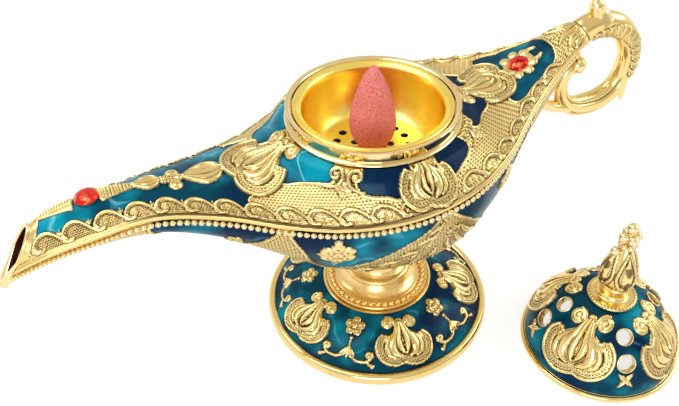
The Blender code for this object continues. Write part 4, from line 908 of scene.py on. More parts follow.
def gem_setting(board):
    """Petals round the tail's gem, with two leaves towards the handle."""
    bed = [(-3.6, 2.6), (-1.0, 4.3), (2.0, 3.9), (4.6, 1.8), (5.2, 0.0)]
    board.plateau(doubled(bed) + [(-4.0, 0.0)], 0.5, 0.6, 0.6)
    for angle in (35.0, 75.0, 120.0, 180.0, 240.0, 285.0, 325.0):
        a = math.radians(angle)
        board.dome(4.5 * math.cos(a), 4.5 * math.sin(a), 1.45, 0.5, 0.35, 0.6)
    for side in (1.0, -1.0):
        leaf = [(3.4, side * 1.2), (5.6, side * 2.4), (7.2, side * 1.8)]
        board.stroke(leaf, [0.6, 0.7, 0.35], 0.4, 0.3, 0.7)


def upper_stamps(relief):
    """The raised ornaments of the upper half."""
    crest_chain(relief.stamp(on_body(-72.0, 0.0), (1.0, 0.0, 0.0), 32.0))

    # Palmettes: towards the spout, towards the tail, and one on each side
    palmette(relief.stamp(on_body(-46.9, -3.0), (0.08, -1.0, 0.0), 26.0, size=18.0), 1.15)
    palmette(relief.stamp(on_body(41.8, -0.7), (0.0, 1.0, 0.0), 26.0, size=15.8, squeeze=1.06), 1.15)
    for side in (-1.0, 1.0):
        place = (0.0, side * 34.6, 69.4)
        board = relief.stamp(place, (-side, 0.0, 0.0), 22.0, size=13.6, squeeze=1.14, mirror=True)
        palmette(board, 1.1)

    # Twin scrolls on the collar's flanks
    for x, y in ((-20.1, 21.3), (18.6, 17.6)):
        for side in (-1.0, 1.0):
            inward = np.array([COLLAR_X - x, -side * y])
            inward /= np.linalg.norm(inward)
            twin_scroll(relief.stamp(on_body(x, side * y), (inward[1], -inward[0], 0.0), 9.0))

    gem_setting(relief.stamp(on_body(45.5, 0.0), (1.0, 0.0, 0.0), 12.0))

    # Sprigs over the waves on the enamel
    for top in WAVE_TOPS:
        if -96.0 < top < -50.0 or top > 44.0:
            for side in (-1.0, 1.0):
                wave_sprig(relief, top, side)


def wave_sprig(relief, top, side):
    """Three small leaves where one wave meets the next."""
    half, ridge = [float(v[0]) for v in body_rows([top + 3.6])[:2]]
    y = side * 0.93 * (half - UPPER_DEPTH) * 0.97
    place = (top + 3.4, y, ridge + UPPER_RISE + 0.5 * wave_size(top)[1])
    leaf_spray(relief.stamp(place, (side * -1.0, 0.0, 0.0), 3.0), 3, 1.5, 0.3, 0.6)


# One of the twin scrolls, from its foot to the inside of its curl, with half widths
SCROLL_LINE = [(5.6, -2.7), (3.8, -2.6), (1.9, -1.8), (0.85, -0.2), (0.95, 1.5), (2.2, 2.6), (3.7, 2.1),
               (4.0, 0.7), (3.0, -0.2), (1.95, 0.5), (2.1, 1.4)]
SCROLL_WIDTHS = [0.25, 0.34, 0.4, 0.42, 0.42, 0.44, 0.42, 0.38, 0.36, 0.32, 0.25]


def twin_scroll(board):
    """Two scrolls that rise side by side from the ground and curl outwards under the collar."""
    board.plateau([(-1.3, 3.4), (-0.9, 1.2), (-1.2, -0.8), (-2.6, -2.4), (0.0, -4.0), (2.6, -2.4),
                   (1.2, -0.8), (0.9, 1.2), (1.3, 3.4)], 0.3, 0.4, 0.4)
    for hand in (-1.0, 1.0):
        board.stroke(sided(SCROLL_LINE, hand), SCROLL_WIDTHS, 0.5, 0.25, 0.8)
        board.dome(hand * 2.75, 1.0, 0.62, 0.5, 0.25, 0.8)
    board.dome(0.0, -1.2, 0.6, 0.4, 0.3, 0.8)
    for step in range(7):
        angle = 2.0 * math.pi * step / 6.0
        away = 0.0 if step == 6 else 1.0
        board.dome(away * math.cos(angle), -3.6 + away * math.sin(angle), 0.46, 0.42, 0.15, 0.4)


# Enamel panels of the lower half, as places along the lamp and distances below the seam
HULL_PANELS = [
    [(-69.0, 0.5), (-58.0, 0.5), (-39.2, 0.6), (-42.2, 7.2), (-46.6, 11.8), (-49.5, 17.0), (-55.0, 19.0),
     (-64.0, 14.0), (-70.0, 6.0)],
    [(-36.0, 0.6), (-20.0, 0.5), (-6.0, 0.5), (3.0, 0.6), (-0.6, 6.0), (-8.2, 10.6), (-15.2, 15.0),
     (-21.0, 19.0), (-25.0, 22.4), (-27.6, 22.0), (-30.4, 17.0), (-32.8, 11.0)],
    [(4.6, 0.6), (20.0, 0.5), (36.0, 0.5), (45.6, 0.6), (43.0, 8.0), (37.0, 14.0), (30.0, 20.0),
     (24.0, 24.0), (19.4, 18.0), (12.8, 11.2)],
]
# The band's midrib and the leaves beside it
HULL_MIDRIB = [(3.4, 4.8), (1.4, 8.6), (-3.6, 13.6), (-10.0, 18.2), (-17.0, 22.4)]
HULL_LEAVES = (
    ((9.0, 10.0), (12.0, 15.0), (17.5, 20.0)), ((7.4, 12.0), (9.6, 17.4), (14.0, 22.6)),
    ((5.6, 14.0), (6.6, 19.0), (9.6, 24.0)), ((2.4, 16.0), (2.0, 21.0), (4.0, 25.0)),
    ((-2.0, 18.6), (-3.4, 22.6), (-2.4, 26.0)),
)


def hull_relief(grid, normals):
    """Ground, panels and ornaments of the lower half."""
    relief = Relief(grid[:, :, :3], normals)
    x, y = relief.points.T[:2]
    s = grid[:, :, 3].ravel()
    height = relief.height
    relief.gold[:] = 1.0
    pits = hex_pits(x + 0.4 * s, s, 0.9)
    ground = np.clip(1.0 - (pits / 0.32)**2, 0.0, 1.0)
    below = s > 2.4
    height[:] = np.where(below, -0.3 * ground, 0.0)
    # Painted shade in the pits of the grained ground
    relief.dark[:] = np.where(below, 0.7 * ground, 0.0)
    rims = np.full(len(x), 1e9)
    for ring in HULL_PANELS:
        gap = polygon_distance(x, s, smooth_line(ring, 5, closed=True))
        height[gap < 0.0] = -ENAMEL_DEPTH
        relief.paint(gap < 0.0, gold=0.0, dark=0.0)
        rims = np.minimum(rims, abs(gap))
    # Painted light and shade on the enamel: a little lighter under the collar, darker further forward
    relief.tone += 0.1 * np.exp(-((x + 6.0) / 9.0)**2) - 0.4 * np.exp(-((x + 34.0) / 6.0)**2)
    line = (rims < 0.36) & below
    height[line] = np.maximum(height[line], 0.32 * np.sqrt(1.0 - (rims[line] / 0.36)**2))
    relief.paint(line, gold=1.0, dark=0.0, shine=0.8)
    for side in (-1.0, 1.0):
        near = np.nonzero(np.sign(y) == side)[0]
        hull_ornaments(Board(relief, near, x[near], s[near], 1.0))
    return relief


def part_of(board, x, s, size):
    """A smaller drawing board about a point of another."""
    return Board(board.relief, board.index, (board.a - x) / size, (board.b - s) / size, size)


def hull_ornaments(board):
    """Flowers on the panels and leaves along the bands between them, in plan of place and girth."""
    for x, s, size in ((-24.8, 10.0, 8.8), (28.5, 9.8, 6.4)):
        local = part_of(board, x, s, size)
        for step in range(6):
            angle = 2.0 * math.pi * step / 6 + 0.5
            px, py = 0.31 * math.cos(angle), 0.31 * math.sin(angle)
            local.dome(px, py, 0.215, 0.6, 0.15, 0.5)
            local.pit(px, py, 0.055, 0.25)
        local.dome(0.0, 0.0, 0.16, 0.45, 0.45, 0.5)
        local.pit(0.0, 0.0, 0.05, 0.25)
        local.dome(0.0, -0.56, 0.12, 0.5, 0.2, 0.6)
        local.stroke([(0.0, 0.45), (0.04, 0.62), (-0.04, 0.76)], [0.08, 0.05, 0.03], 0.35, smooth=False)
        local.stroke([(-0.45, 0.02), (-0.58, 0.0)], [0.09, 0.03], 0.35, smooth=False)
    flower(part_of(board, -49.6, 9.8, 4.4), 5, 0.7)
    knots = np.array(HULL_MIDRIB)
    for t in np.linspace(0.1, 0.9, 5):
        place = np.array([np.interp(t * 4.0, range(5), column) for column in knots.T])
        ahead = np.array([-0.72, 0.69])
        side = np.array([0.69, 0.72])
        for hand in (-1.0, 1.0):
            bend = place + ahead * 2.2 + side * hand * (0.9 + 1.2 * t)
            tip = place + ahead * 4.6 + side * hand * (1.4 + 2.4 * t)
            board.stroke([place, bend, tip], [0.3, 0.7, 0.15], 0.5, 0.05, 0.6)
    board.stroke(HULL_MIDRIB, 0.4, 0.55, 0.1, 0.7)
    board.groove(HULL_MIDRIB, 0.14, 0.25, 0.8)
    for leaf in HULL_LEAVES:
        board.stroke(leaf, [0.25, 0.8, 0.18], 0.5, 0.05, 0.6)
    flower(part_of(board, 6.8, 11.4, 4.6), 6, 0.8)


def build_lower(material):
    """The lower half."""
    rows, columns = 460, 290
    grid = trimmed_grid(hull_skin, LOWER_EDGE, LOWER_DEPTH, LOWER_RISE, -1.0, rows, columns)
    relief = hull_relief(grid, grid_normals(grid[:, :, :3]))
    points, fields = relief.raised((rows, columns))
    return mesh_piece("lower_shell_cast", points, [grid_faces(rows, columns)], fields, material)


def mouth_outline(inset, depth=0.0):
    """Points around the spout's mouth, or around its inside at a depth behind it."""
    fine = np.linspace(-109.0, -60.0, 1200)
    thickness = np.minimum(inset, 0.35 * body_rows(fine)[0])[:, None]
    loop = []
    for skin, facing in ((dome_skin, 1.0), (hull_skin, -1.0)):
        share = facing * np.linspace(-0.995, 0.995, 36)
        y, z = skin(fine, share, thickness)
        past = fine[:, None] - mouth_place(z) - depth
        for column in range(len(share)):
            outside = np.nonzero(past[:, column] < 0.0)[0]
            index = outside[-1] if len(outside) else 0
            loop.append((fine[index], y[index, column], z[index, column]))
    return smooth_line(loop, 2, closed=True)


def build_mouth(gold, lining):
    """The rolled lip of the spout and the dark inside behind it."""
    line = mouth_outline(0.1)
    course = np.roll(line, -1, axis=0) - np.roll(line, 1, axis=0)
    course /= np.maximum(np.linalg.norm(course, axis=1, keepdims=True), 1e-9)
    facing = np.array([MOUTH_TIP[1] - MOUTH_TOP[1], 0.0, MOUTH_TOP[0] - MOUTH_TIP[0]])
    facing /= np.linalg.norm(facing)
    outward = np.cross(facing, course)
    turn = np.linspace(0.0, 2.0 * math.pi, 16, endpoint=False)
    thick = 0.6 + 0.95 * smoothstep(63.0, 57.0, line[:, 2])[:, None, None]
    grid = (line[:, None, :] + thick * np.cos(turn)[None, :, None] * outward[:, None, :]
            + 0.8 * thick * np.sin(turn)[None, :, None] * facing)
    lip = ring_piece("mouth_lip", np.concatenate([grid, grid[:1]]), gold)
    depths = (0.1, 1.0, 2.5, 5.0, 9.0, 14.0, 20.0, 28.0)
    rings = np.stack([mouth_outline(0.5 + 0.02 * depth, depth) for depth in depths])
    return lip, ring_piece("mouth_inside", rings, lining)


def ball_template(rings, segments):
    lat = np.linspace(0.0, math.pi, rings + 1)[1:-1]
    lon = np.linspace(0.0, 2.0 * math.pi, segments, endpoint=False)
    body = np.stack([np.sin(lat)[:, None] * np.cos(lon), np.sin(lat)[:, None] * np.sin(lon),
                     np.repeat(np.cos(lat)[:, None], segments, 1)], axis=-1).reshape(-1, 3)
    points = np.vstack([[(0.0, 0.0, 1.0)], body, [(0.0, 0.0, -1.0)]])
    quads = grid_faces(rings - 1, segments, closed=True, flip=True) + 1
    step = np.arange(segments)
    after = (step + 1) % segments
    top = np.stack([np.zeros(segments, dtype=int), 1 + step, 1 + after], axis=1)
    last = 1 + (rings - 2) * segments
    bottom = np.stack([np.full(segments, len(points) - 1), last + after, last + step], axis=1)
    return points, quads, np.vstack([top, bottom])


def balls(name, centres, radii, material, rings=8, segments=12):
    """Many small balls in one piece."""
    points, quads, tris = ball_template(rings, segments)
    centres = np.asarray(centres, dtype=float)
    radii = np.broadcast_to(np.asarray(radii, dtype=float), (len(centres),))
    every = (centres[:, None, :] + points[None] * radii[:, None, None]).reshape(-1, 3)
    shift = (np.arange(len(centres)) * len(points))[:, None, None]
    faces = [(group[None] + shift).reshape(-1, group.shape[1]) for group in (quads, tris)]
    return mesh_piece(name, every, faces, None, material)


def spaced(line, pitch):
    """Points a pitch apart along a dense line."""
    travel = travelled(line)
    count = max(int(round(travel[-1] / pitch)), 1)
    return read_along(line, travel, (np.arange(count) + 0.5) * travel[-1] / count)


# Rows of beads under the seam: from, to, pitch and radius
SEAM_ROWS = ((-108.0, -78.0, 1.3, 0.7), (-78.0, 40.0, 1.86, 0.91), (40.0, 64.4, 1.34, 0.6))


def build_seam_beads(material):
    """Rows of small balls under the seam, on both sides."""
    centres = []
    radii = []
    for low, high, pitch, radius in SEAM_ROWS:
        x = np.linspace(low, high, 900)
        half, ridge = body_rows(x)[:2]
        scale = end_scale(half)
        line = np.column_stack([x, half - (0.7 * scale), ridge - 0.1 - 1.25 * scale, scale])
        line = line[line[:, 0] > mouth_place(line[:, 2]) + 0.4]
        rows = spaced(line, pitch)
        for side in (-1.0, 1.0):
            centres.append(rows[:, :3] * (1.0, side, 1.0))
            radii.append(radius * np.minimum(1.0, rows[:, 3] + 0.1))
    return balls("seam_beads", np.vstack(centres), np.concatenate(radii), material)


# Turned pieces
def turned_grid(profile, sides, place=(0.0, 0.0, 0.0)):
    """Points turned about the upright axis from rows of (radius, height)."""
    profile = np.asarray(profile, dtype=float)
    angle = np.linspace(0.0, 2.0 * math.pi, sides, endpoint=False)
    grid = np.empty((len(profile), sides, 3))
    grid[:, :, 0] = profile[:, :1] * np.cos(angle) + place[0]
    grid[:, :, 1] = profile[:, :1] * np.sin(angle) + place[1]
    grid[:, :, 2] = profile[:, 1:] + place[2]
    return grid


def dense_profile(points, pitch, corners=()):
    """A turned outline resampled at a pitch, smooth between the listed corners."""
    out = []
    marks = [0] + sorted(corners) + [len(points) - 1]
    for start, end in zip(marks[:-1], marks[1:]):
        part = np.array(points[start:end + 1], dtype=float)
        line = smooth_line(part, 12) if len(part) > 2 else part
        travel = travelled(line)
        count = max(int(math.ceil(travel[-1] / pitch)), 1)
        rows = read_along(line, travel, np.linspace(0.0, travel[-1], count + 1))
        out.append(rows if not out else rows[1:])
    return np.vstack(out)


TURNED_EDGE = 40.0


def turned_piece(name, profile, sides, place, material, angle=TURNED_EDGE):
    """A plain turned piece; the outline runs so that its left side is the outside."""
    item = ring_piece(name, turned_grid(profile, sides, place), material)
    item.data.set_sharp_from_angle(angle=math.radians(angle))
    return item


FOOT_SEAT = 17.6
FOOT_FIELD = 35.6
FOOT_SIDES = 720
FIRST_PALMETTE = 263.0
FIRST_FLOWER = 227.0
FIFTH = 72.0


def foot_height(radius):
    """Height of the foot's dome at a radius."""
    share = (FOOT_FIELD - radius) / (FOOT_FIELD - FOOT_SEAT)
    return float(3.4 + 8.6 * (1.0 - np.clip(1.0 - share, 0.0, 2.0)**1.5))


def build_foot(material):
    """The foot's cast dome with its rim, five palmettes and the flowers between them."""
    field = [(radius, foot_height(radius)) for radius in np.linspace(16.4, 35.5, 64)]
    rim = dense_profile([(35.5, 3.4), (35.8, 3.72), (36.5, 3.95), (37.2, 3.75), (37.8, 3.1), (38.0, 2.2),
                         (38.0, 1.2), (37.7, 0.6), (37.0, 0.4), (35.0, 0.4)], 0.3)
    profile = np.vstack([field, rim[1:]])
    grid = turned_grid(profile, FOOT_SIDES)
    relief = Relief(grid, grid_normals(grid, closed=True, flip=True))
    radius = np.repeat(profile[:, 0], FOOT_SIDES)
    row = np.repeat(np.arange(len(profile)), FOOT_SIDES)
    relief.paint((row >= len(field)) | (radius > 35.5), gold=1.0, shine=1.0)
    inner = abs(radius - 17.9) < 0.45
    relief.paint(inner | (radius < FOOT_SEAT), gold=1.0)
    relief.paint(inner, shine=1.0)
    relief.height[inner] = 0.3
    for number in range(5):
        board = relief.radial_stamp(FIRST_PALMETTE + FIFTH * number, 34.3, foot_height(34.3), 18.0,
                                    size=15.6, squeeze=0.93, mirror=number == 0)
        palmette(board, 1.1)
    for number in range(5):
        bearing = FIRST_FLOWER + FIFTH * number
        flower(relief.radial_stamp(bearing, 23.4, foot_height(23.4), 6.0, size=6.4), 5, 1.0)
        vine(relief.radial_stamp(bearing, 29.3, foot_height(29.3), 12.0))
    quiet = smoothstep(16.9, 18.2, radius)
    relief.height *= np.where(radius < 18.2, quiet, 1.0)
    points, fields = relief.raised(grid.shape[:2])
    faces = [grid_faces(len(profile), FOOT_SIDES, closed=True, flip=True)]
    return mesh_piece("foot_cast", points, faces, fields, material)


VINE_LEAF = [0.3, 0.62, 0.2]
VINE_ARM = [(1.2, -2.9), (3.2, -3.8), (5.4, -3.8), (7.3, -2.9), (8.1, -1.4)]


def vine(board):
    """Two scrolled tendrils from a trefoil, with the dots of the flower's stem above."""
    for step, radius in ((2.8, 0.55), (1.7, 0.45), (0.7, 0.4)):
        board.dome(0.0, step, radius, 0.5, 0.1, 0.6)
    for lean in (-1.0, -0.45, 0.45, 1.0):
        tip = (lean * 2.5, -2.9 - 0.5 * (1.0 - abs(lean)))
        board.stroke([(0.0, -0.3), (lean * 1.1, -1.5), tip], VINE_LEAF, 0.6, 0.1, 0.6, 0.6)
    board.stroke([(0.0, -0.2), (0.0, -1.6), (0.0, -3.6)], VINE_LEAF, 0.65, 0.1, 0.6, 0.6)
    board.dome(0.0, -0.4, 0.6, 0.4, 0.2, 0.7)
    for side in (-1.0, 1.0):
        board.stroke(sided(VINE_ARM, side), [0.2, 0.42, 0.46, 0.44, 0.36], 0.6, 0.05, 0.7)
        board.volute(side * 7.1, -1.4, 1.15, 0.6, 0.1, side, 0.0 if side > 0 else math.pi, 1.0, 0.4)
        board.stroke([(side * 6.4, -3.4), (side * 8.4, -4.2)], [0.3, 0.5], 0.5, 0.05, 0.7)
        board.dome(side * 8.9, -4.3, 0.6, 0.5, 0.1, 0.7)


# Height of the foot's top, and the stem's outline above it
STEM_BASE = 12.3
STEM_OUTLINE = [
    (6.0, 17.0), (9.0, 17.0), (8.8, 16.3), (8.3, 15.3), (7.8, 13.2), (7.8, 9.6), (8.2, 7.9), (9.5, 6.6),
    (10.6, 6.1), (11.0, 5.4), (10.8, 4.7), (10.3, 4.35), (10.5, 4.1), (11.1, 3.1), (12.2, 1.9),
    (13.4, 1.15), (14.2, 0.9), (14.5, 0.72), (16.5, 0.72), (16.7, 0.95), (17.05, 0.98), (17.3, 0.7),
    (17.3, 0.3), (17.1, 0.0), (12.0, 0.0),
]
STEM_CORNERS = (1, 11, 17, 18)
STEM_BEADS = 44


def build_stem(gold):
    """The turned stem, and the ring of beads on its foot."""
    outline = [(radius, rise + STEM_BASE) for radius, rise in STEM_OUTLINE]
    profile = dense_profile(outline, 0.35, corners=STEM_CORNERS)
    stem = turned_piece("stem_turned", profile, 144, (0.0, 0.0, 0.0), gold, 50.0)
    angle = np.linspace(0.0, 2.0 * math.pi, STEM_BEADS, endpoint=False)
    height = np.full(STEM_BEADS, STEM_BASE + 0.86)
    centres = np.column_stack([15.5 * np.cos(angle), 15.5 * np.sin(angle), height])
    return stem, balls("stem_beads", centres, 0.94, gold, 8, 14)


COLLAR_BASE = 78.8
COLLAR_TOP = 83.1


def collar_profile():
    """Outline of the collar: a thin wall that leans in below a rolled edge, and the seat inside."""
    base, top = COLLAR_BASE, COLLAR_TOP
    outline = [(23.3, base - 5.0), (23.3, base), (25.15, base), (25.35, base + 0.3), (25.2, base + 0.6),
               (24.8, base + 0.82), (24.45, base + 0.95), (24.85, top - 0.16), (24.72, top), (24.4, top),
               (23.6, top - 0.35), (23.35, top - 0.6), (23.35, 81.1), (21.9, 81.1), (21.9, base - 5.0),
               (23.3, base - 5.0)]
    return dense_profile(outline[::-1], 0.3, corners=(1, 2, 3, 4, 6, 7, 8, 9, 13, 14))


CUP_FLOOR = 67.6
CUP_LIP = 81.8
# Rings of holes in the cup's floor: radius, count and first bearing
CUP_DRILLS = ((10.7, 15, 1.0), (5.3, 9, -19.0))
DRILL_RADIUS = 1.2
DRILL_SIDES = 24


def cup_inside(t):
    """Radius and height of the cup's wall, from its lip to its floor."""
    radius = 15.0 + 5.3 * math.cos(t * math.pi / 2.0)
    return radius, CUP_FLOOR + (CUP_LIP - CUP_FLOOR) * (1.0 - t)**1.5


def cup_drills():
    """A cutter for the holes in the cup's floor."""
    places = []
    for ring, count, phase in CUP_DRILLS:
        for step in range(count):
            angle = math.radians(phase) + 2.0 * math.pi * step / count
            places.append((COLLAR_X + ring * math.cos(angle), ring * math.sin(angle)))
    points = []
    quads = []
    caps = []
    for number, (x, y) in enumerate(places):
        low = [number * 2 * DRILL_SIDES + s for s in range(DRILL_SIDES)]
        high = [index + DRILL_SIDES for index in low]
        for z in (64.0, 71.0):
            for step in range(DRILL_SIDES):
                angle = 2.0 * math.pi * step / DRILL_SIDES
                points.append((x + DRILL_RADIUS * math.cos(angle), y + DRILL_RADIUS * math.sin(angle), z))
        quads += list(zip(low, low[1:] + low[:1], high[1:] + high[:1], high))
        caps += [low[::-1], high]
    return mesh_piece("cup_drills", points, [quads, caps], smooth=False)


def build_cup(gold):
    """The spun cup with its sloping lip, and its floor pierced."""
    inner = [(23.05, 81.9), (22.95, 82.35), (22.6, 82.75), (22.1, 82.85), (21.6, 82.65), (20.9, 82.2),
             (20.45, 81.85)]
    inner += [cup_inside(t) for t in np.linspace(0.02, 0.97, 16)]
    inner += [(14.4, CUP_FLOOR), (8.0, CUP_FLOOR), (0.02, CUP_FLOOR)]
    outer = [(0.02, 66.6), (15.0, 66.6)]
    for t in np.linspace(0.95, 0.1, 10):
        radius, height = cup_inside(t)
        outer.append((radius + 1.0 * (1.0 - 0.4 * t), height - 1.0 * t))
    outer += [(21.3, 81.4), (23.05, 81.4), (23.05, 81.9)]
    cup = turned_piece("incense_cup_spun", inner + outer, 128, (COLLAR_X, 0.0, 0.0), gold)
    merge = cup.modifiers.new("weld", "WELD")
    merge.merge_threshold = 0.00005
    cutter = cup_drills()
    holes = cup.modifiers.new("holes", "BOOLEAN")
    holes.operation = "DIFFERENCE"
    holes.solver = "EXACT"
    holes.object = cutter
    bpy.context.view_layer.update()
    mesh = bpy.data.meshes.new_from_object(cup.evaluated_get(bpy.context.evaluated_depsgraph_get()))
    cup.modifiers.clear()
    cup.data = mesh
    mesh.shade_smooth()
    mesh.set_sharp_from_angle(angle=math.radians(TURNED_EDGE))
    bpy.data.objects.remove(cutter, do_unlink=True)
    return cup


CONE_BASE = 67.9
CONE_HEIGHT = 26.6
# Share of the cone's height at which it is widest, and its radius there and at the foot
CONE_WIDEST = 0.3
CONE_FOOT_RADIUS = 2.3
CONE_RADIUS = 6.75


def build_cone(material):
    """The pressed incense cone, rounded in below and drawn out to a point above."""
    rows = [(0.02, CONE_BASE), (2.2, CONE_BASE)]
    for t in np.linspace(0.004, 0.995, 70):
        if t < CONE_WIDEST:
            swell = (1.0 - (1.0 - t / CONE_WIDEST)**2.2)**0.62
            radius = CONE_FOOT_RADIUS + 4.45 * swell
        else:
            rise = (t - CONE_WIDEST) / 0.7
            radius = CONE_RADIUS * (1.0 - rise**1.5)**0.72
        rows.append((radius, CONE_BASE + t * CONE_HEIGHT))
    rows.append((0.02, CONE_BASE + CONE_HEIGHT))
    return ring_piece("incense_cone_pressed", turned_grid(rows[::-1], 96, (COLLAR_X, 0.0, 0.0)), material)


def crest_seat(x):
    """Point and slope of the crest at a place along the lamp."""
    z = dome_skin(np.array([x - 1.0, x, x + 1.0]), np.array([0.0]))[1][:, 0]
    return (x, 0.0, float(z[1])), math.atan2(float(z[2] - z[0]), 2.0)


# Height of a stone's seat above the crest, and how far the stone is let into it
GEM_SEAT = 0.3
GEM_SUNK = 0.9


def build_gem(name, x, radius, material):
    """A round stone with a flat table, crown facets and girdle."""
    place, tilt = crest_seat(x)
    base = GEM_SEAT - GEM_SUNK
    girdle = base + 0.95
    top = base + 2.2
    rings = [(0.75, base, 16, 0.0), (1.0, girdle - 0.2, 16, 0.0), (1.0, girdle, 16, 0.0),
             (0.8, girdle + 0.72, 8, 0.5), (0.5, top, 8, 0.0)]
    points = []
    starts = []
    for share, z, count, shift in rings:
        starts.append(len(points))
        for step in range(count):
            angle = 2.0 * math.pi * (step + shift) / count
            points.append((share * radius * math.cos(angle), share * radius * math.sin(angle), z))
    quads = []
    tris = []
    for low, high in ((starts[0], starts[1]), (starts[1], starts[2])):
        for step in range(16):
            after = (step + 1) % 16
            quads.append((low + step, low + after, high + after, high + step))
    for step in range(8):
        after = (step + 1) % 8
        here = starts[2] + 2 * step
        ahead = starts[2] + (2 * step + 2) % 16
        crown = starts[3] + step
        tris.append((here, here + 1, crown))
        tris.append((here + 1, ahead, crown))
        quads.append((ahead, starts[3] + after, starts[4] + after, crown))
        tris.append((starts[4] + step, crown, starts[4] + after))
    points.append((0.0, 0.0, top))
    centre = len(points) - 1
    points.append((0.0, 0.0, base))
    for step in range(8):
        tris.append((starts[4] + step, starts[4] + (step + 1) % 8, centre))
    for step in range(16):
        tris.append((starts[0] + (step + 1) % 16, starts[0] + step, centre + 1))
    turn = np.array(Matrix.Rotation(-tilt, 3, "Y"))
    points = np.array(points) @ turn.T + np.array(place)
    return mesh_piece(name, points, [quads, tris], None, material, smooth=False)


# The handle's loop and scroll, as place along the lamp, height over the body's base and radius
HANDLE_ROUTE = [
    (65.3, 56.9, 4.6), (68.8, 59.2, 4.3), (74.6, 59.7, 4.1), (80.9, 57.5, 4.0), (86.0, 52.7, 3.8),
    (88.6, 46.0, 3.6), (88.2, 39.4, 3.6), (85.5, 34.0, 3.7), (80.6, 31.0, 3.9), (75.4, 30.4, 3.9),
    (70.2, 31.2, 3.5), (66.2, 34.0, 2.8), (64.2, 38.2, 2.3), (64.3, 42.2, 2.0), (66.0, 45.2, 1.9),
    (67.8, 46.2, 1.8),
]
HANDLE_SIDES = 96


def swept(route, sides, depth_share):
    """Points around a route of (x, height, radius) in the lamp's middle plane."""
    route = np.asarray(route, dtype=float)
    tangent = np.gradient(route[:, :2], axis=0)
    tangent /= np.linalg.norm(tangent, axis=1, keepdims=True)
    across = np.column_stack([-tangent[:, 1], tangent[:, 0]])
    angle = np.linspace(0.0, 2.0 * math.pi, sides, endpoint=False)
    grid = np.empty((len(route), sides, 3))
    grid[:, :, 0] = route[:, :1] + across[:, :1] * route[:, 2:3] * np.cos(angle)
    grid[:, :, 2] = route[:, 1:2] + across[:, 1:2] * route[:, 2:3] * np.cos(angle)
    grid[:, :, 1] = route[:, 2:3] * depth_share * np.sin(angle)
    return grid, angle


def capped(grid):
    """Closes a swept grid at both ends with a small ring near the middle of each end."""
    ends = []
    for row in (grid[:1], grid[-1:]):
        middle = row.mean(axis=1, keepdims=True)
        ends.append(middle + 0.02 * (row - middle))
    return np.concatenate([ends[0], grid, ends[1]])


def raised_route(route, per_span):
    """A curve through a route, at its height above the floor."""
    rows = smooth_line(route, per_span)
    rows[:, 1] += BODY_Z
    return rows


def build_handle(material):
    """The handle's loop and scroll, without its fittings."""
    rows = raised_route(HANDLE_ROUTE, 28)
    grid, angle = swept(rows, HANDLE_SIDES, 0.86)
    relief = Relief(grid, grid_normals(grid, closed=True, flip=True))
    relief.paint(slice(None), gold=1.0, shine=1.0)
    travel = travelled(rows[:, :2])
    handle_work(relief, np.repeat(travel, HANDLE_SIDES), np.tile(angle, len(rows)))
    points, fields = relief.raised(grid.shape[:2])
    faces = [grid_faces(len(rows), HANDLE_SIDES, closed=True, flip=True)]
    return mesh_piece("handle_cast", points, faces, fields, material)


def handle_work(relief, along, phi):
    """Overlapping leaves with a rope edge on the loop's outer half, and twin grooves on its lower part, with
    painted shade in the grooves, between the leaves and in their hatching.
    """
    turned = abs((phi + math.pi) % (2.0 * math.pi) - math.pi)
    relief.height += 0.3 * np.exp(-((along - 1.6) / 0.35)**2)
    groove = np.exp(-((along - 2.5) / 0.2)**2)
    relief.height -= 0.3 * groove
    # Painted shade in the groove near the loop's start
    relief.dark[:] = 0.9 * groove
    middle = np.interp(along, [2.0, 8.0, 16.0, 26.0, 40.0], [2.7, 2.35, 1.85, 1.3, 1.05])
    share = (turned - middle) / 0.68
    ends = smoothstep(3.0, 5.0, along) * (1.0 - smoothstep(37.5, 39.0, along))
    zone = ends * smoothstep(1.0, 0.84, abs(share))
    saw = (along / 2.75 + 0.5 * share**2) % 1.0
    relief.height += zone * (0.75 * saw**0.7 - 0.1)
    # Painted shade in the gaps between the leaves
    relief.dark[:] = np.maximum(relief.dark, zone * (saw < 0.16))
    relief.paint(zone > 0.5, shine=0.4)
    hatch = np.sin(2.0 * math.pi * (along / 0.8 - 1.1 * abs(share)))
    blade = smoothstep(0.3, 0.6, saw)
    relief.height += zone * 0.12 * hatch * blade
    # Painted shade in the furrows of the hatching
    relief.dark[:] = np.maximum(relief.dark, zone * 0.55 * np.clip(-hatch, 0.0, 1.0) * blade)
    lower = smoothstep(38.0, 41.0, along) * (1.0 - smoothstep(68.0, 72.0, along))
    for centre in (1.0, 2.1):
        relief.height -= lower * 0.55 * np.exp(-((turned - centre) / 0.15)**2)
        # Painted shade along the bottoms of the twin grooves
        relief.dark[:] = np.maximum(relief.dark, 0.35 * lower * np.exp(-((turned - centre) / 0.1)**2))


# Routes of the small parts, each with its depth as a share of its height
HANDLE_HORNS = [
    # Knob and beak on top
    ([(73.8, 60.4, 4.6), (72.8, 62.6, 3.5), (71.9, 64.2, 2.8), (71.4, 65.6, 2.6), (70.6, 66.9, 2.0),
      (69.8, 67.8, 0.8)], 0.84),
    ([(71.6, 65.6, 2.2), (73.2, 65.3, 1.6), (74.2, 64.7, 0.9), (74.6, 64.2, 0.3)], 0.8),
    # Leaf tips at the lower right
    ([(87.8, 38.8, 2.6), (89.0, 35.0, 2.2), (89.9, 31.8, 1.6), (90.6, 29.2, 1.1), (90.9, 27.6, 0.4)], 0.8),
    ([(86.0, 35.0, 2.2), (87.0, 32.0, 1.5), (87.8, 29.8, 0.9), (88.2, 28.6, 0.3)], 0.8),
    # Strut to the body's underside
    ([(69.6, 31.5, 2.3), (66.0, 31.9, 2.05), (62.0, 33.0, 1.9), (57.6, 35.6, 1.85), (53.8, 38.4, 1.8)], 1.2),
]
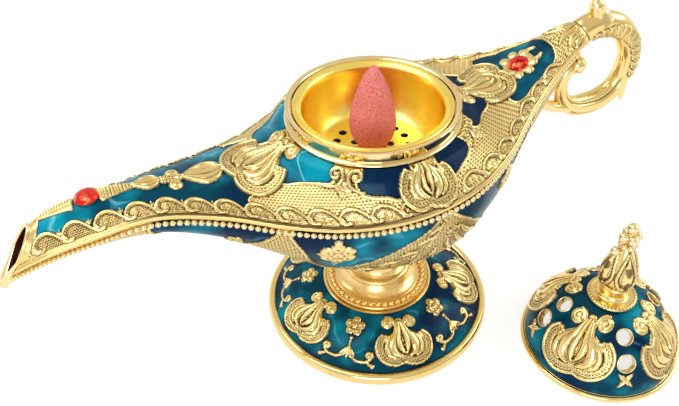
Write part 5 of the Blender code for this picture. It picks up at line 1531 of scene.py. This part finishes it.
SCROLL_BALL = (68.6, 46.6 + BODY_Z)
SCROLL_BALL_RADIUS = 2.9
EYE_PLACE = (71.5, BODY_Z + 65.1)
EYE_SIDE = 2.15
EYE_RADIUS = 0.95
EYE_WIRE = 0.34


def eye_ring(side):
    """Grid of the ring round the knob's eye, on one side of the handle."""
    grid = np.empty((29, 14, 3))
    turn = np.linspace(0.0, 2.0 * math.pi, 14, endpoint=False)
    around = np.linspace(0.0, 2.0 * math.pi, 28, endpoint=False)
    for row, a in enumerate([*around, 0.0]):
        reach = EYE_RADIUS + EYE_WIRE * np.cos(turn)
        grid[row, :, 0] = EYE_PLACE[0] + reach * math.cos(a)
        grid[row, :, 2] = EYE_PLACE[1] + reach * math.sin(a)
        grid[row, :, 1] = side * (EYE_SIDE + EYE_WIRE * np.sin(turn))
    return grid if side < 0.0 else grid[:, ::-1]


def build_handle_fittings(material):
    """Knob, leaf tips, strut, the scroll's ball and the rings round the knob's eye."""
    grids = [capped(swept(raised_route(route, 8), 40, share)[0]) for route, share in HANDLE_HORNS]
    lean = np.linspace(-0.5 * math.pi, 0.5 * math.pi, 26)
    x = SCROLL_BALL[0] + SCROLL_BALL_RADIUS * np.sin(lean)
    radius = np.maximum(SCROLL_BALL_RADIUS * np.cos(lean), 0.02)
    radius *= 1.0 - 0.1 * np.exp(-((x - 68.2) / 0.45)**2)
    grids.append(swept(np.column_stack([x, np.full(26, SCROLL_BALL[1]), radius]), 40, 1.0)[0])
    grids += [eye_ring(-1.0), eye_ring(1.0)]
    faces = []
    total = 0
    for grid in grids:
        rows, sides = grid.shape[:2]
        faces.append(grid_faces(rows, sides, closed=True, flip=True) + total)
        total += rows * sides
    points = np.vstack([grid.reshape(-1, 3) for grid in grids])
    return mesh_piece("handle_fittings", points, [np.vstack(faces)], None, material)


# Bearings of the lid's holes and palmettes, and radius from the axis and size of each ring of holes
LID_HOLE_BEARINGS = (70.0, 160.0, 250.0, 340.0)
LID_HOLES = ((19.6, 2.6), (14.2, 2.3))
LID_PALMETTES = (205.0, 295.0, 25.0, 115.0)
LID_SIDES = 640
# How far along its axis a hole cuts the skin
HOLE_REACH = 3.0


def lid_skin(t):
    """Radius and height of the lid's dome, from its rim to its top."""
    angle = t * math.pi / 2.0
    radius = 6.9 + 16.8 * max(math.cos(angle), 0.0)**1.1
    return radius, 2.6 + 19.7 * math.sin(angle)**1.3


def lid_height(radius):
    samples = np.array([lid_skin(t) for t in np.linspace(0.0, 1.0, 200)])
    return float(np.interp(radius, samples[::-1, 0], samples[::-1, 1]))


def lid_hole_frames():
    """Centre, axis, two directions across and radius of each hole of the lid."""
    samples = np.array([lid_skin(t) for t in np.linspace(0.0, 1.0, 401)])
    for ring, hole in LID_HOLES:
        index = int(np.argmin(abs(samples[:, 0] - ring)))
        rise = samples[index + 1] - samples[index - 1]
        out = np.array([rise[1], -rise[0]])
        out /= np.linalg.norm(out)
        radius, height = samples[index]
        for bearing in LID_HOLE_BEARINGS:
            a = math.radians(bearing)
            centre = np.array([radius * math.cos(a), radius * math.sin(a), height])
            normal = np.array([out[0] * math.cos(a), out[0] * math.sin(a), out[1]])
            across = np.array([-math.sin(a), math.cos(a), 0.0])
            yield centre + (*LID_PLACE, 0.0), normal, across, np.cross(normal, across), hole


def cut_round_holes(points, faces):
    """Drops faces inside the lid's holes and draws the cut edge onto each circle."""
    keep = np.ones(len(faces), dtype=bool)
    for centre, normal, across, up, hole in lid_hole_frames():
        offset = points - centre
        a = offset @ across
        b = offset @ up
        gap = np.hypot(a, b)
        inside = (gap < hole) & (abs(offset @ normal) < HOLE_REACH)
        keep &= ~inside[faces].all(axis=1)
        scale = hole / np.maximum(gap[inside], 1e-6)
        points[inside] += (across[None] * (a[inside] * (scale - 1.0))[:, None]
                           + up[None] * (b[inside] * (scale - 1.0))[:, None])
    return points, faces[keep]


def hole_star(board):
    """A star of four points beside a hole of the lid."""
    for turn in (0.25, 0.75, 1.25, 1.75):
        tip = (3.1 * math.cos(math.pi * turn), 3.1 * math.sin(math.pi * turn))
        board.stroke([(0.0, 0.0), (tip[0] * 0.45, tip[1] * 0.45), tip], [1.0, 0.8, 0.1], 0.7, 0.0, 0.6,
                     smooth=False, power=1.0)
    board.dome(0.0, 0.0, 0.7, 0.5, 0.3, 0.8)


def build_lid_skin(material):
    """The lid's pierced dome and its rim."""
    skin = np.array([lid_skin(t) for t in np.linspace(1.0, 0.0, 110)])
    travel = travelled(skin)
    skin = read_along(skin, travel, np.linspace(0.0, travel[-1], 104))
    rim = dense_profile([(23.7, 2.6), (23.95, 2.72), (24.5, 2.74), (24.9, 2.5), (25.05, 2.0), (25.0, 1.4),
                         (24.7, 1.0), (23.0, 1.0), (19.8, 1.0)], 0.3, corners=(6,))
    top = [(5.0, 22.3), (6.0, 22.3)]
    profile = np.vstack([top, skin, rim[1:]])
    grid = turned_grid(profile, LID_SIDES, (*LID_PLACE, 0.0))
    relief = Relief(grid, grid_normals(grid, closed=True, flip=True))
    row = np.repeat(np.arange(len(profile)), LID_SIDES)
    relief.paint(row > len(skin), gold=1.0, shine=1.0)
    for bearing in LID_PALMETTES:
        palmette(relief.radial_stamp(bearing, 23.0, lid_height(23.0), 26.0, LID_PLACE, size=18.6,
                                     squeeze=1.02), 1.35)
    for bearing in LID_HOLE_BEARINGS:
        hole_star(relief.radial_stamp(bearing, 22.2, lid_height(22.2), 5.5, LID_PLACE))
    points, fields = relief.raised(grid.shape[:2])
    points, faces = cut_round_holes(points, grid_faces(len(profile), LID_SIDES, closed=True, flip=True))
    return mesh_piece("lid_cast", *keep_used(points, [faces], fields), material)


def build_lid_lining(material):
    """The skirt and the inside of the dome."""
    inner = [(19.8, 1.0), (19.8, 0.0), (18.4, 0.0), (18.4, 1.6)]
    for t in np.linspace(0.0, 1.0, 60):
        radius, height = lid_skin(t)
        inner.append((min(radius - 0.84, radius * (25.05 - 2.9) / 23.7), max(height - 1.4, 1.6)))
    inner.append((1.8, 20.9))
    sides = LID_SIDES // 2
    grid = turned_grid(inner, sides, (*LID_PLACE, 0.0))
    faces = grid_faces(len(inner), sides, closed=True, flip=True)
    points, faces = cut_round_holes(grid.reshape(-1, 3), faces)
    return mesh_piece("lid_inside", *keep_used(points, [faces], {}), material)


# Rolled edge of a hole: distance along its axis, and radius past the hole's own
HOLE_EDGE = ((-1.9, 0.0), (0.05, 0.0), (0.22, 0.06), (0.28, 0.2), (0.2, 0.36), (-0.1, 0.45))
HOLE_SIDES = 40


def build_hole_edges(material):
    points = []
    faces = []
    for centre, normal, across, up, hole in lid_hole_frames():
        faces.append(grid_faces(len(HOLE_EDGE), HOLE_SIDES, closed=True) + len(points))
        for depth, past in HOLE_EDGE:
            radius = hole + past
            for step in range(HOLE_SIDES):
                angle = 2.0 * math.pi * step / HOLE_SIDES
                points.append(centre + normal * depth + across * radius * math.cos(angle)
                              + up * radius * math.sin(angle))
    return mesh_piece("lid_hole_edges", points, [np.vstack(faces)], None, material)


# Heights of the finial's foot, its bulb and its crown
FINIAL_BASE = 22.6
FINIAL_BULB = 29.2
FINIAL_TOP = 43.3
FINIAL_SIDES = 128
# Balls of the crown: count, first bearing, distance from the axis, height over the bulb and radius
CROWN_RINGS = ((1, 0.0, 0.0, 7.5, 1.9), (4, -15.0, 2.0, 4.3, 1.7), (6, 15.0, 1.9, 1.3, 1.1),
               (1, 165.0, 3.4, -0.8, 1.6))


def finial_profile():
    base = FINIAL_BASE
    neck = [(2.0, base), (7.2, base), (7.6, base + 0.5), (7.4, base + 1.1), (6.9, base + 1.35),
            (6.2, base + 1.2), (5.2, base + 1.25), (4.5, base + 1.45), (4.0, base + 2.2), (3.8, base + 3.6),
            (3.9, base + 4.9), (4.5, base + 5.4), (4.95, base + 5.75), (4.95, base + 6.15),
            (4.6, base + 6.5)]
    bulb = []
    for t in np.linspace(0.03, 0.985, 40):
        swell = math.sin(math.pi * (0.2 + 0.8 * t)**0.66)**0.9
        bulb.append((1.7 + 3.6 * swell, FINIAL_BULB + 14.1 * t))
    stalk = [(1.6, FINIAL_TOP), (1.4, 44.0), (1.4, 48.6), (0.9, 49.4), (0.02, 49.7)]
    return np.vstack([dense_profile(neck, 0.25, corners=(1,)), bulb, dense_profile(stalk, 0.5)])


def build_finial(material):
    grid = turned_grid(finial_profile(), FINIAL_SIDES, (*LID_PLACE, 0.0))
    relief = Relief(grid, grid_normals(grid, closed=True))
    relief.paint(slice(None), gold=1.0, shine=0.7)
    x, y, z = relief.points.T
    angle = np.arctan2(y - LID_PLACE[1], x - LID_PLACE[0])
    radius = np.hypot(x - LID_PLACE[0], y - LID_PLACE[1])
    flange = (radius > 6.4) & (z < FINIAL_BASE + 1.8) & (z > FINIAL_BASE + 0.2)
    rope = np.sin(angle * 42.0 + (z - FINIAL_BASE) * 4.0)
    relief.height[flange] += 0.09 * rope[flange]
    # Painted shade in the troughs of the rope
    relief.paint(flange, dark=np.clip(-rope[flange], 0.0, 1.0) * 0.5)
    for step in range(4):
        finial_leaf(relief.radial_stamp(-105.0 + 90.0 * step, 5.2, FINIAL_BULB + 0.9, 13.0, LID_PLACE,
                                        size=7.2, squeeze=1.6))
    points, fields = relief.raised(grid.shape[:2])
    faces = [grid_faces(*grid.shape[:2], closed=True)]
    return mesh_piece("finial_cast", points, faces, fields, material)


def build_crown(gold):
    """The crown of balls, the larger ones grained with smaller balls."""
    centres = []
    radii = []
    golden = math.pi * (3.0 - math.sqrt(5.0))
    for count, first, away, rise, ball in CROWN_RINGS:
        for step in range(count):
            a = math.radians(first + 360.0 / count * step)
            middle = np.array([away * math.cos(a), away * math.sin(a), FINIAL_TOP + rise])
            centres.append(middle)
            radii.append(ball * 0.96)
            for number in range(9 if ball > 1.2 else 0):
                height = 1.0 - 2.0 * (number + 0.5) / 9
                ring = math.sqrt(1.0 - height * height)
                turn = golden * number
                grain = np.array([ring * math.cos(turn), ring * math.sin(turn), height])
                centres.append(middle + ball * 0.66 * grain)
                radii.append(0.42 * ball)
    return balls("finial_crown", np.array(centres) + (*LID_PLACE, 0.0), radii, gold, 7, 10)


# One side of the finial's leaf, in units of its width
LEAF_EDGE = [(0.0, 0.02), (0.3, 0.1), (0.45, 0.34), (0.34, 0.64), (0.12, 0.96), (0.0, 1.12)]


def finial_leaf(board):
    """Teardrop with a rope edge and a smooth keel on one side of the finial."""
    inside = [(x * 0.76, 0.09 + y * 0.84) for x, y in LEAF_EDGE]
    for side in (-1.0, 1.0):
        board.stroke(sided(LEAF_EDGE, side), 0.06, 0.36, 0.1, 0.6, rope=0.16, pitch=0.7)
        board.groove(sided(inside, side), 0.035, 0.16, 0.8)
    keel = [(0.0, 0.12), (0.0, 0.36), (0.0, 0.62), (0.0, 0.96)]
    board.stroke(keel, [0.08, 0.24, 0.16, 0.03], 0.75, 0.05, 0.8, 0.8)
    board.beads([(0.0, 0.2), (0.0, 0.8)], 0.14, 0.42, -0.14, smooth=False, dark=0.8)


# Materials
def node(tree, kind, **values):
    item = tree.nodes.new(kind)
    for key, value in values.items():
        setattr(item, key, value)
    return item


def feed(tree, value, socket):
    """Links an output to an input, or sets a colour or a number on it."""
    if isinstance(value, bpy.types.NodeSocket):
        tree.links.new(value, socket)
    elif isinstance(value, tuple):
        socket.default_value = (*value, 1.0)
    else:
        socket.default_value = value


def mix_colour(tree, factor, first, second):
    mix = node(tree, "ShaderNodeMix", data_type="RGBA")
    for socket, value in ((0, factor), (6, first), (7, second)):
        feed(tree, value, mix.inputs[socket])
    return mix.outputs[2]


def mix_value(tree, factor, first, second):
    mix = node(tree, "ShaderNodeMix", data_type="FLOAT")
    for socket, value in ((0, factor), (2, first), (3, second)):
        feed(tree, value, mix.inputs[socket])
    return mix.outputs[0]


def compute(tree, operation, *values):
    """A Math node over outputs and numbers."""
    item = node(tree, "ShaderNodeMath", operation=operation)
    for socket, value in enumerate(values):
        feed(tree, value, item.inputs[socket])
    return item.outputs[0]


def attribute(tree, name):
    return node(tree, "ShaderNodeAttribute", attribute_name=name).outputs["Fac"]


def noise(tree, scale, detail):
    coords = node(tree, "ShaderNodeTexCoord")
    texture = node(tree, "ShaderNodeTexNoise")
    for name, value in (("Scale", scale), ("Detail", detail), ("Roughness", 0.55)):
        texture.inputs[name].default_value = value
    tree.links.new(coords.outputs["Object"], texture.inputs["Vector"])
    return texture.outputs["Fac"]


def ramp(tree, value, low, high, kind="LINEAR"):
    """Nil at low and one at high, with nothing past them."""
    item = node(tree, "ShaderNodeMapRange", interpolation_type=kind)
    item.inputs["From Min"].default_value = low
    item.inputs["From Max"].default_value = high
    tree.links.new(value, item.inputs["Value"])
    return item.outputs["Result"]


def bumped(tree, shader, height, strength):
    """Fine bumps, a fifth of a millimetre deep at full strength."""
    bump = node(tree, "ShaderNodeBump")
    bump.inputs["Strength"].default_value = strength
    bump.inputs["Distance"].default_value = 0.0002
    tree.links.new(height, bump.inputs["Height"])
    tree.links.new(bump.outputs["Normal"], shader.inputs["Normal"])


def finish(name, make, **settings):
    """A material whose shader gets its colours from make and its plain values from settings."""
    surface = bpy.data.materials.new(name)
    surface.use_nodes = True
    tree = surface.node_tree
    shader = tree.nodes["Principled BSDF"]
    for key, value in settings.items():
        shader.inputs[key.replace("_", " ")].default_value = value
    make(tree, shader)
    return surface


GOLD_LIGHT = (0.89, 0.69, 0.3)
GOLD_DEEP = (0.8, 0.52, 0.13)
# Brown for the painted shade in the gold's hollows
GOLD_PAINTED_SHADE = (0.055, 0.022, 0.005)
# Enamel: nearly black for the painted shade beside the gold, the painted shaded pool, plain teal, the
# painted lit pool and the painted highlight streaks
TEAL_OUTLINE_SHADE = (0.0, 0.004, 0.01)
TEAL_SHADED_POOL = (0.0, 0.016, 0.055)
TEAL = (0.0, 0.052, 0.09)
TEAL_LIT_POOL = (0.0, 0.28, 0.39)
TEAL_PAINTED_HIGHLIGHT = (0.2, 0.62, 0.72)
# Stone: painted facet shade, red, and painted orange glint
RED_SHADED_FACET = (0.3, 0.0, 0.004)
RED = (0.8, 0.025, 0.012)
RED_PAINTED_GLINT = (1.0, 0.3, 0.08)
WHITE = (1.0, 1.0, 1.0)


def cast_work(tree, shader):
    """Gold plate with painted shade in its hollows and painted highlights on its raised edges, and teal
    enamel where the gold field is nil.
    """
    gold, hollow, edge = [attribute(tree, name) for name in ("gold", "hollow", "edge")]
    shine, tone = [attribute(tree, name) for name in ("shine", "tone")]
    cloud = ramp(tree, noise(tree, 90.0, 2.0), 0.35, 0.65)
    deep = mix_colour(tree, 0.35, GOLD_LIGHT, GOLD_DEEP)
    # Painted highlight: raised edges take the lightest gold; elsewhere it drifts at random
    plate = mix_colour(tree, mix_value(tree, edge, cloud, 0.0), GOLD_LIGHT, deep)
    # Painted shade: brown in the hollows
    plate = mix_colour(tree, hollow, plate, GOLD_PAINTED_SHADE)

    # Painted pools of light and shade in the enamel, placed by its tone field and spread at random, painted
    # highlight streaks, and painted shade beside the gold and in hollows
    painted_light_pool = compute(tree, "MULTIPLY_ADD", tone, 0.2, noise(tree, 75.0, 2.0))
    dark = compute(tree, "MULTIPLY_ADD", tone, -0.18, noise(tree, 44.0, 2.0))
    teal = mix_colour(tree, ramp(tree, painted_light_pool, 0.45, 0.7), TEAL, TEAL_LIT_POOL)
    teal = mix_colour(tree, ramp(tree, dark, 0.46, 0.62), teal, TEAL_SHADED_POOL)
    away = compute(tree, "ABSOLUTE", compute(tree, "SUBTRACT", noise(tree, 85.0, 0.6), 0.5))
    painted_reflection_streak = compute(tree, "MULTIPLY", ramp(tree, away, 0.022, 0.0), ramp(tree, painted_light_pool, 0.5, 0.85))
    teal = mix_colour(tree, painted_reflection_streak, teal, TEAL_PAINTED_HIGHLIGHT)
    # Painted shade: the enamel beside the gold and in hollows goes nearly black
    teal = mix_colour(tree, hollow, teal, TEAL_OUTLINE_SHADE)

    rough = mix_value(tree, hollow, mix_value(tree, shine, 0.35, 0.12), 0.55)
    feed(tree, mix_colour(tree, gold, teal, plate), shader.inputs["Base Color"])
    feed(tree, mix_value(tree, gold, 0.12, 1.0), shader.inputs["Metallic"])
    feed(tree, mix_value(tree, gold, 0.3, rough), shader.inputs["Roughness"])
    feed(tree, mix_value(tree, gold, 0.18, 0.0), shader.inputs["Coat Weight"])
    bumped(tree, shader, noise(tree, 1400.0, 2.0), 0.12)


def metal(name, light, deep, rough_low, rough_high, strength=0.05):
    """A metal whose colour and polish drift between two values."""
    def make(tree, shader):
        cloud = ramp(tree, noise(tree, 120.0, 3.0), 0.3, 0.7)
        feed(tree, mix_colour(tree, cloud, light, deep), shader.inputs["Base Color"])
        feed(tree, mix_value(tree, cloud, rough_low, rough_high), shader.inputs["Roughness"])
        bumped(tree, shader, noise(tree, 700.0, 2.0), strength)
    return finish(name, make, Metallic=1.0)


def gem_work(tree, shader):
    """Red glass with painted light on its facets: cells run from a painted dark wine shade through red, and
    some take a painted orange glint.
    """
    coords = node(tree, "ShaderNodeTexCoord")
    facets = node(tree, "ShaderNodeTexVoronoi")
    facets.inputs["Scale"].default_value = 620.0
    feed(tree, coords.outputs["Object"], facets.inputs["Vector"])
    split = node(tree, "ShaderNodeSeparateXYZ")
    feed(tree, facets.outputs["Color"], split.inputs[0])
    red = mix_colour(tree, ramp(tree, split.outputs["X"], 0.1, 0.7), RED_SHADED_FACET, RED)
    red = mix_colour(tree, ramp(tree, split.outputs["Y"], 0.72, 0.95), red, RED_PAINTED_GLINT)
    feed(tree, red, shader.inputs["Base Color"])


def incense_work(tree, shader):
    """Pink powder with darker specks."""
    cloud = ramp(tree, noise(tree, 160.0, 3.0), 0.3, 0.7)
    tone = mix_colour(tree, cloud, (0.74, 0.19, 0.16), (0.8, 0.25, 0.21))
    specks = ramp(tree, noise(tree, 2600.0, 2.0), 0.36, 0.5)
    feed(tree, mix_colour(tree, specks, (0.48, 0.1, 0.085), tone), shader.inputs["Base Color"])
    bumped(tree, shader, noise(tree, 2600.0, 3.0), 0.5)


def lining_work(tree, shader):
    # A very dark red-brown, drifting at random, for the inside behind the mouth
    cloud = ramp(tree, noise(tree, 180.0, 3.0), 0.3, 0.7)
    dark_red_brown = mix_colour(tree, cloud, (0.035, 0.004, 0.004), (0.1, 0.022, 0.014))
    feed(tree, dark_red_brown, shader.inputs["Base Color"])


def felt_work(tree, shader):
    black = mix_colour(tree, noise(tree, 1500.0, 4.0), (0.012, 0.012, 0.014), (0.05, 0.05, 0.055))
    feed(tree, black, shader.inputs["Base Color"])


CAST = finish("cast_plate_and_enamel", cast_work, IOR=1.12, Coat_IOR=1.3, Coat_Roughness=0.04)
POLISHED = metal("polished_gold", (0.95, 0.74, 0.38), (0.9, 0.66, 0.28), 0.09, 0.15)
SATIN = metal("satin_gold", (0.95, 0.7, 0.32), (0.88, 0.6, 0.22), 0.2, 0.3)
CUP_GOLD = metal("cup_gold", (1.0, 0.8, 0.22), (1.0, 0.7, 0.14), 0.2, 0.28)
COLLAR_GOLD = metal("collar_gold", (0.92, 0.74, 0.4), (0.86, 0.66, 0.32), 0.09, 0.12, 0.01)
BEAD_GOLD = metal("bead_gold", (0.87, 0.72, 0.42), (0.8, 0.62, 0.32), 0.18, 0.26)
STEEL = metal("zinc_steel", (0.62, 0.63, 0.66), (0.5, 0.51, 0.54), 0.28, 0.42)
LINING = finish("dark_red_brown_lining", lining_work, Roughness=0.35)
GEM = finish("red_stone", gem_work, Metallic=0.5, Roughness=0.14, IOR=1.25, Coat_Weight=0.25,
             Coat_Roughness=0.02)
INCENSE = finish("pressed_incense", incense_work, Roughness=0.9)
FELT = finish("black_felt_nap", felt_work, Roughness=0.95)


def settle(piece, slot, body, *nodes):
    """Gives a piece its body and hides the nodes it stands for; the finish slot, slot, is not used."""
    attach(piece, body)
    if nodes:
        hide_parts(*nodes)


settle(build_upper(CAST), "polished_gold_plate", "lamp", "upper_shell")
settle(build_lower(CAST), "teal_enamel", "lamp", "lower_shell")
settle(build_seam_beads(BEAD_GOLD), "polished_gold_plate", "lamp")
settle(build_foot(CAST), "teal_enamel", "lamp", "foot")
stem, stem_beads = build_stem(SATIN)
settle(stem, "satin_gold_plate", "lamp", "stem")
settle(stem_beads, "satin_gold_plate", "lamp")
collar = turned_piece("collar_turned", collar_profile(), 192, (COLLAR_X, 0.0, 0.0), COLLAR_GOLD, 45.0)
settle(collar, "polished_gold_plate", "lamp", "collar")
settle(build_cup(CUP_GOLD), "satin_gold_plate", "cup", "incense_cup")
settle(build_cone(INCENSE), "pink_incense", "cone", "incense_cone")
settle(build_gem("spout_stone", -83.0, 3.4, GEM), "red_glass_gem", "lamp", "spout_gem")
settle(build_gem("tail_stone", 45.8, 3.4, GEM), "red_glass_gem", "lamp", "tail_gem")
settle(build_lid_skin(CAST), "teal_enamel", "lid", "lid")
settle(build_lid_lining(BEAD_GOLD), "teal_enamel", "lid")
settle(build_hole_edges(BEAD_GOLD), "polished_gold_plate", "lid")
settle(build_finial(CAST), "polished_gold_plate", "lid", "finial")
settle(build_crown(BEAD_GOLD), "polished_gold_plate", "lid")
settle(build_handle(CAST), "polished_gold_plate", "lamp", "handle")
settle(build_handle_fittings(POLISHED), "polished_gold_plate", "lamp")
for piece in build_mouth(POLISHED, LINING):
    settle(piece, "polished_gold_plate", "lamp")
for name in ("stem_bolt", "bolt_washer", "stem_nut", "finial_screw", "base_pad"):
    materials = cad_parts[name].data.materials
    materials.clear()
    materials.append(FELT if name == "base_pad" else STEEL)


# The camera found from the photograph: place, directions and focal length in pixels
CAMERA_PLACE = (-0.0784125, -0.1573456, 0.1977089)
CAMERA_RIGHT = Vector((0.917358302, -0.397625667, -0.018643351))
CAMERA_UP = Vector((0.274691131, 0.598450463, 0.752596722))
FOCAL_PIXELS = 737.338
PHOTO_WIDTH = 679.0
SENSOR = 36.0


def photo_camera():
    data = bpy.data.cameras.new("photo_camera")
    data.sensor_width = SENSOR
    data.lens = FOCAL_PIXELS / PHOTO_WIDTH * SENSOR
    data.clip_start = 0.01
    data.clip_end = 20.0
    camera = bpy.data.objects.new("photo_camera", data)
    axes = Matrix((CAMERA_RIGHT, CAMERA_UP, CAMERA_RIGHT.cross(CAMERA_UP)))
    camera.matrix_world = Matrix.Translation(CAMERA_PLACE) @ axes.transposed().to_4x4()
    bpy.context.scene.collection.objects.link(camera)
    return camera


LIGHT_TARGET = (0.0, 0.0, 0.04)


def area_light(name, place, size, power):
    """A rectangular lamp that faces the object."""
    data = bpy.data.lights.new(name, "AREA")
    data.shape = "RECTANGLE"
    data.size, data.size_y = size
    data.energy = power
    lamp = bpy.data.objects.new(name, data)
    lamp.location = place
    lamp.rotation_euler = (Vector(LIGHT_TARGET) - Vector(place)).to_track_quat("-Z", "Y").to_euler()
    bpy.context.scene.collection.objects.link(lamp)


def any_ray(tree, *kinds):
    """One where a ray is of any of the kinds."""
    rays = node(tree, "ShaderNodeLightPath")
    found = rays.outputs[kinds[0]]
    for kind in kinds[1:]:
        found = compute(tree, "MAXIMUM", found, rays.outputs[kind])
    return found


def shown_where(tree, seen, quiet, shown, output):
    """One shader for the rays that see it, and a quiet one for the light on the object."""
    mixer = node(tree, "ShaderNodeMixShader")
    for value, socket in ((seen, mixer.inputs["Fac"]), (quiet.outputs[0], mixer.inputs[1]),
                          (shown.outputs[0], mixer.inputs[2]), (mixer.outputs[0], output.inputs["Surface"])):
        feed(tree, value, socket)


ROOM = (0.6, 0.58, 0.54)
CEILING = (0.78, 0.75, 0.69)
AMBIENT = 0.6


def build_world():
    """A white studio with a dim room behind the photographer and a greyish ceiling in reflections."""
    world = bpy.data.worlds.new("studio")
    bpy.context.scene.world = world
    world.use_nodes = True
    tree = world.node_tree
    ambient = tree.nodes["Background"]
    feed(tree, WHITE, ambient.inputs["Color"])
    feed(tree, AMBIENT, ambient.inputs["Strength"])
    shown = node(tree, "ShaderNodeBackground")
    direct = any_ray(tree, "Is Camera Ray", "Is Transmission Ray")
    seen = any_ray(tree, "Is Camera Ray", "Is Transmission Ray", "Is Glossy Ray")
    coords = node(tree, "ShaderNodeTexCoord")
    split = node(tree, "ShaderNodeSeparateXYZ")
    feed(tree, coords.outputs["Generated"], split.inputs[0])
    front = ramp(tree, split.outputs["Y"], 0.0, -0.9, "SMOOTHSTEP")
    above = ramp(tree, split.outputs["Z"], 0.15, 0.45, "SMOOTHSTEP")
    room = mix_colour(tree, above, mix_colour(tree, front, WHITE, ROOM), CEILING)
    feed(tree, mix_colour(tree, direct, room, WHITE), shown.inputs["Color"])
    shown_where(tree, seen, ambient, shown, tree.nodes["World Output"])


FLOOR_HALF = 2000.0
FLOOR_DROP = -0.05


def build_floor():
    """A matt floor that takes the object's shadow and shows white."""
    corners = [(x * FLOOR_HALF, y * FLOOR_HALF, FLOOR_DROP) for x, y in ((-1, -1), (1, -1), (1, 1), (-1, 1))]
    floor = mesh_piece("floor", corners, [[(0, 1, 2, 3)]], smooth=False)
    surface = bpy.data.materials.new("white_sweep")
    surface.use_nodes = True
    tree = surface.node_tree
    tree.nodes.clear()
    matte = node(tree, "ShaderNodeBsdfDiffuse")
    feed(tree, (0.85, 0.85, 0.85), matte.inputs["Color"])
    shaded = node(tree, "ShaderNodeBsdfDiffuse")
    feed(tree, (0.4, 0.4, 0.4), shaded.inputs["Color"])
    glow = node(tree, "ShaderNodeEmission")
    feed(tree, 0.72, glow.inputs["Strength"])
    shown = node(tree, "ShaderNodeAddShader")
    feed(tree, shaded.outputs[0], shown.inputs[0])
    feed(tree, glow.outputs[0], shown.inputs[1])
    seen = any_ray(tree, "Is Camera Ray", "Is Glossy Ray", "Is Transmission Ray")
    shown_where(tree, seen, matte, shown, node(tree, "ShaderNodeOutputMaterial"))
    floor.data.materials.append(surface)


build_floor()
build_world()
area_light("key", (-0.5, 0.2, 1.0), (0.8, 0.8), 6.0)
area_light("fill", (0.9, -0.2, 0.6), (0.5, 0.7), 3.0)
area_light("front", (-0.5, -0.9, 0.35), (0.5, 0.4), 4.0)
bpy.context.scene.camera = photo_camera()
bpy.context.scene.view_settings.view_transform = "Standard"
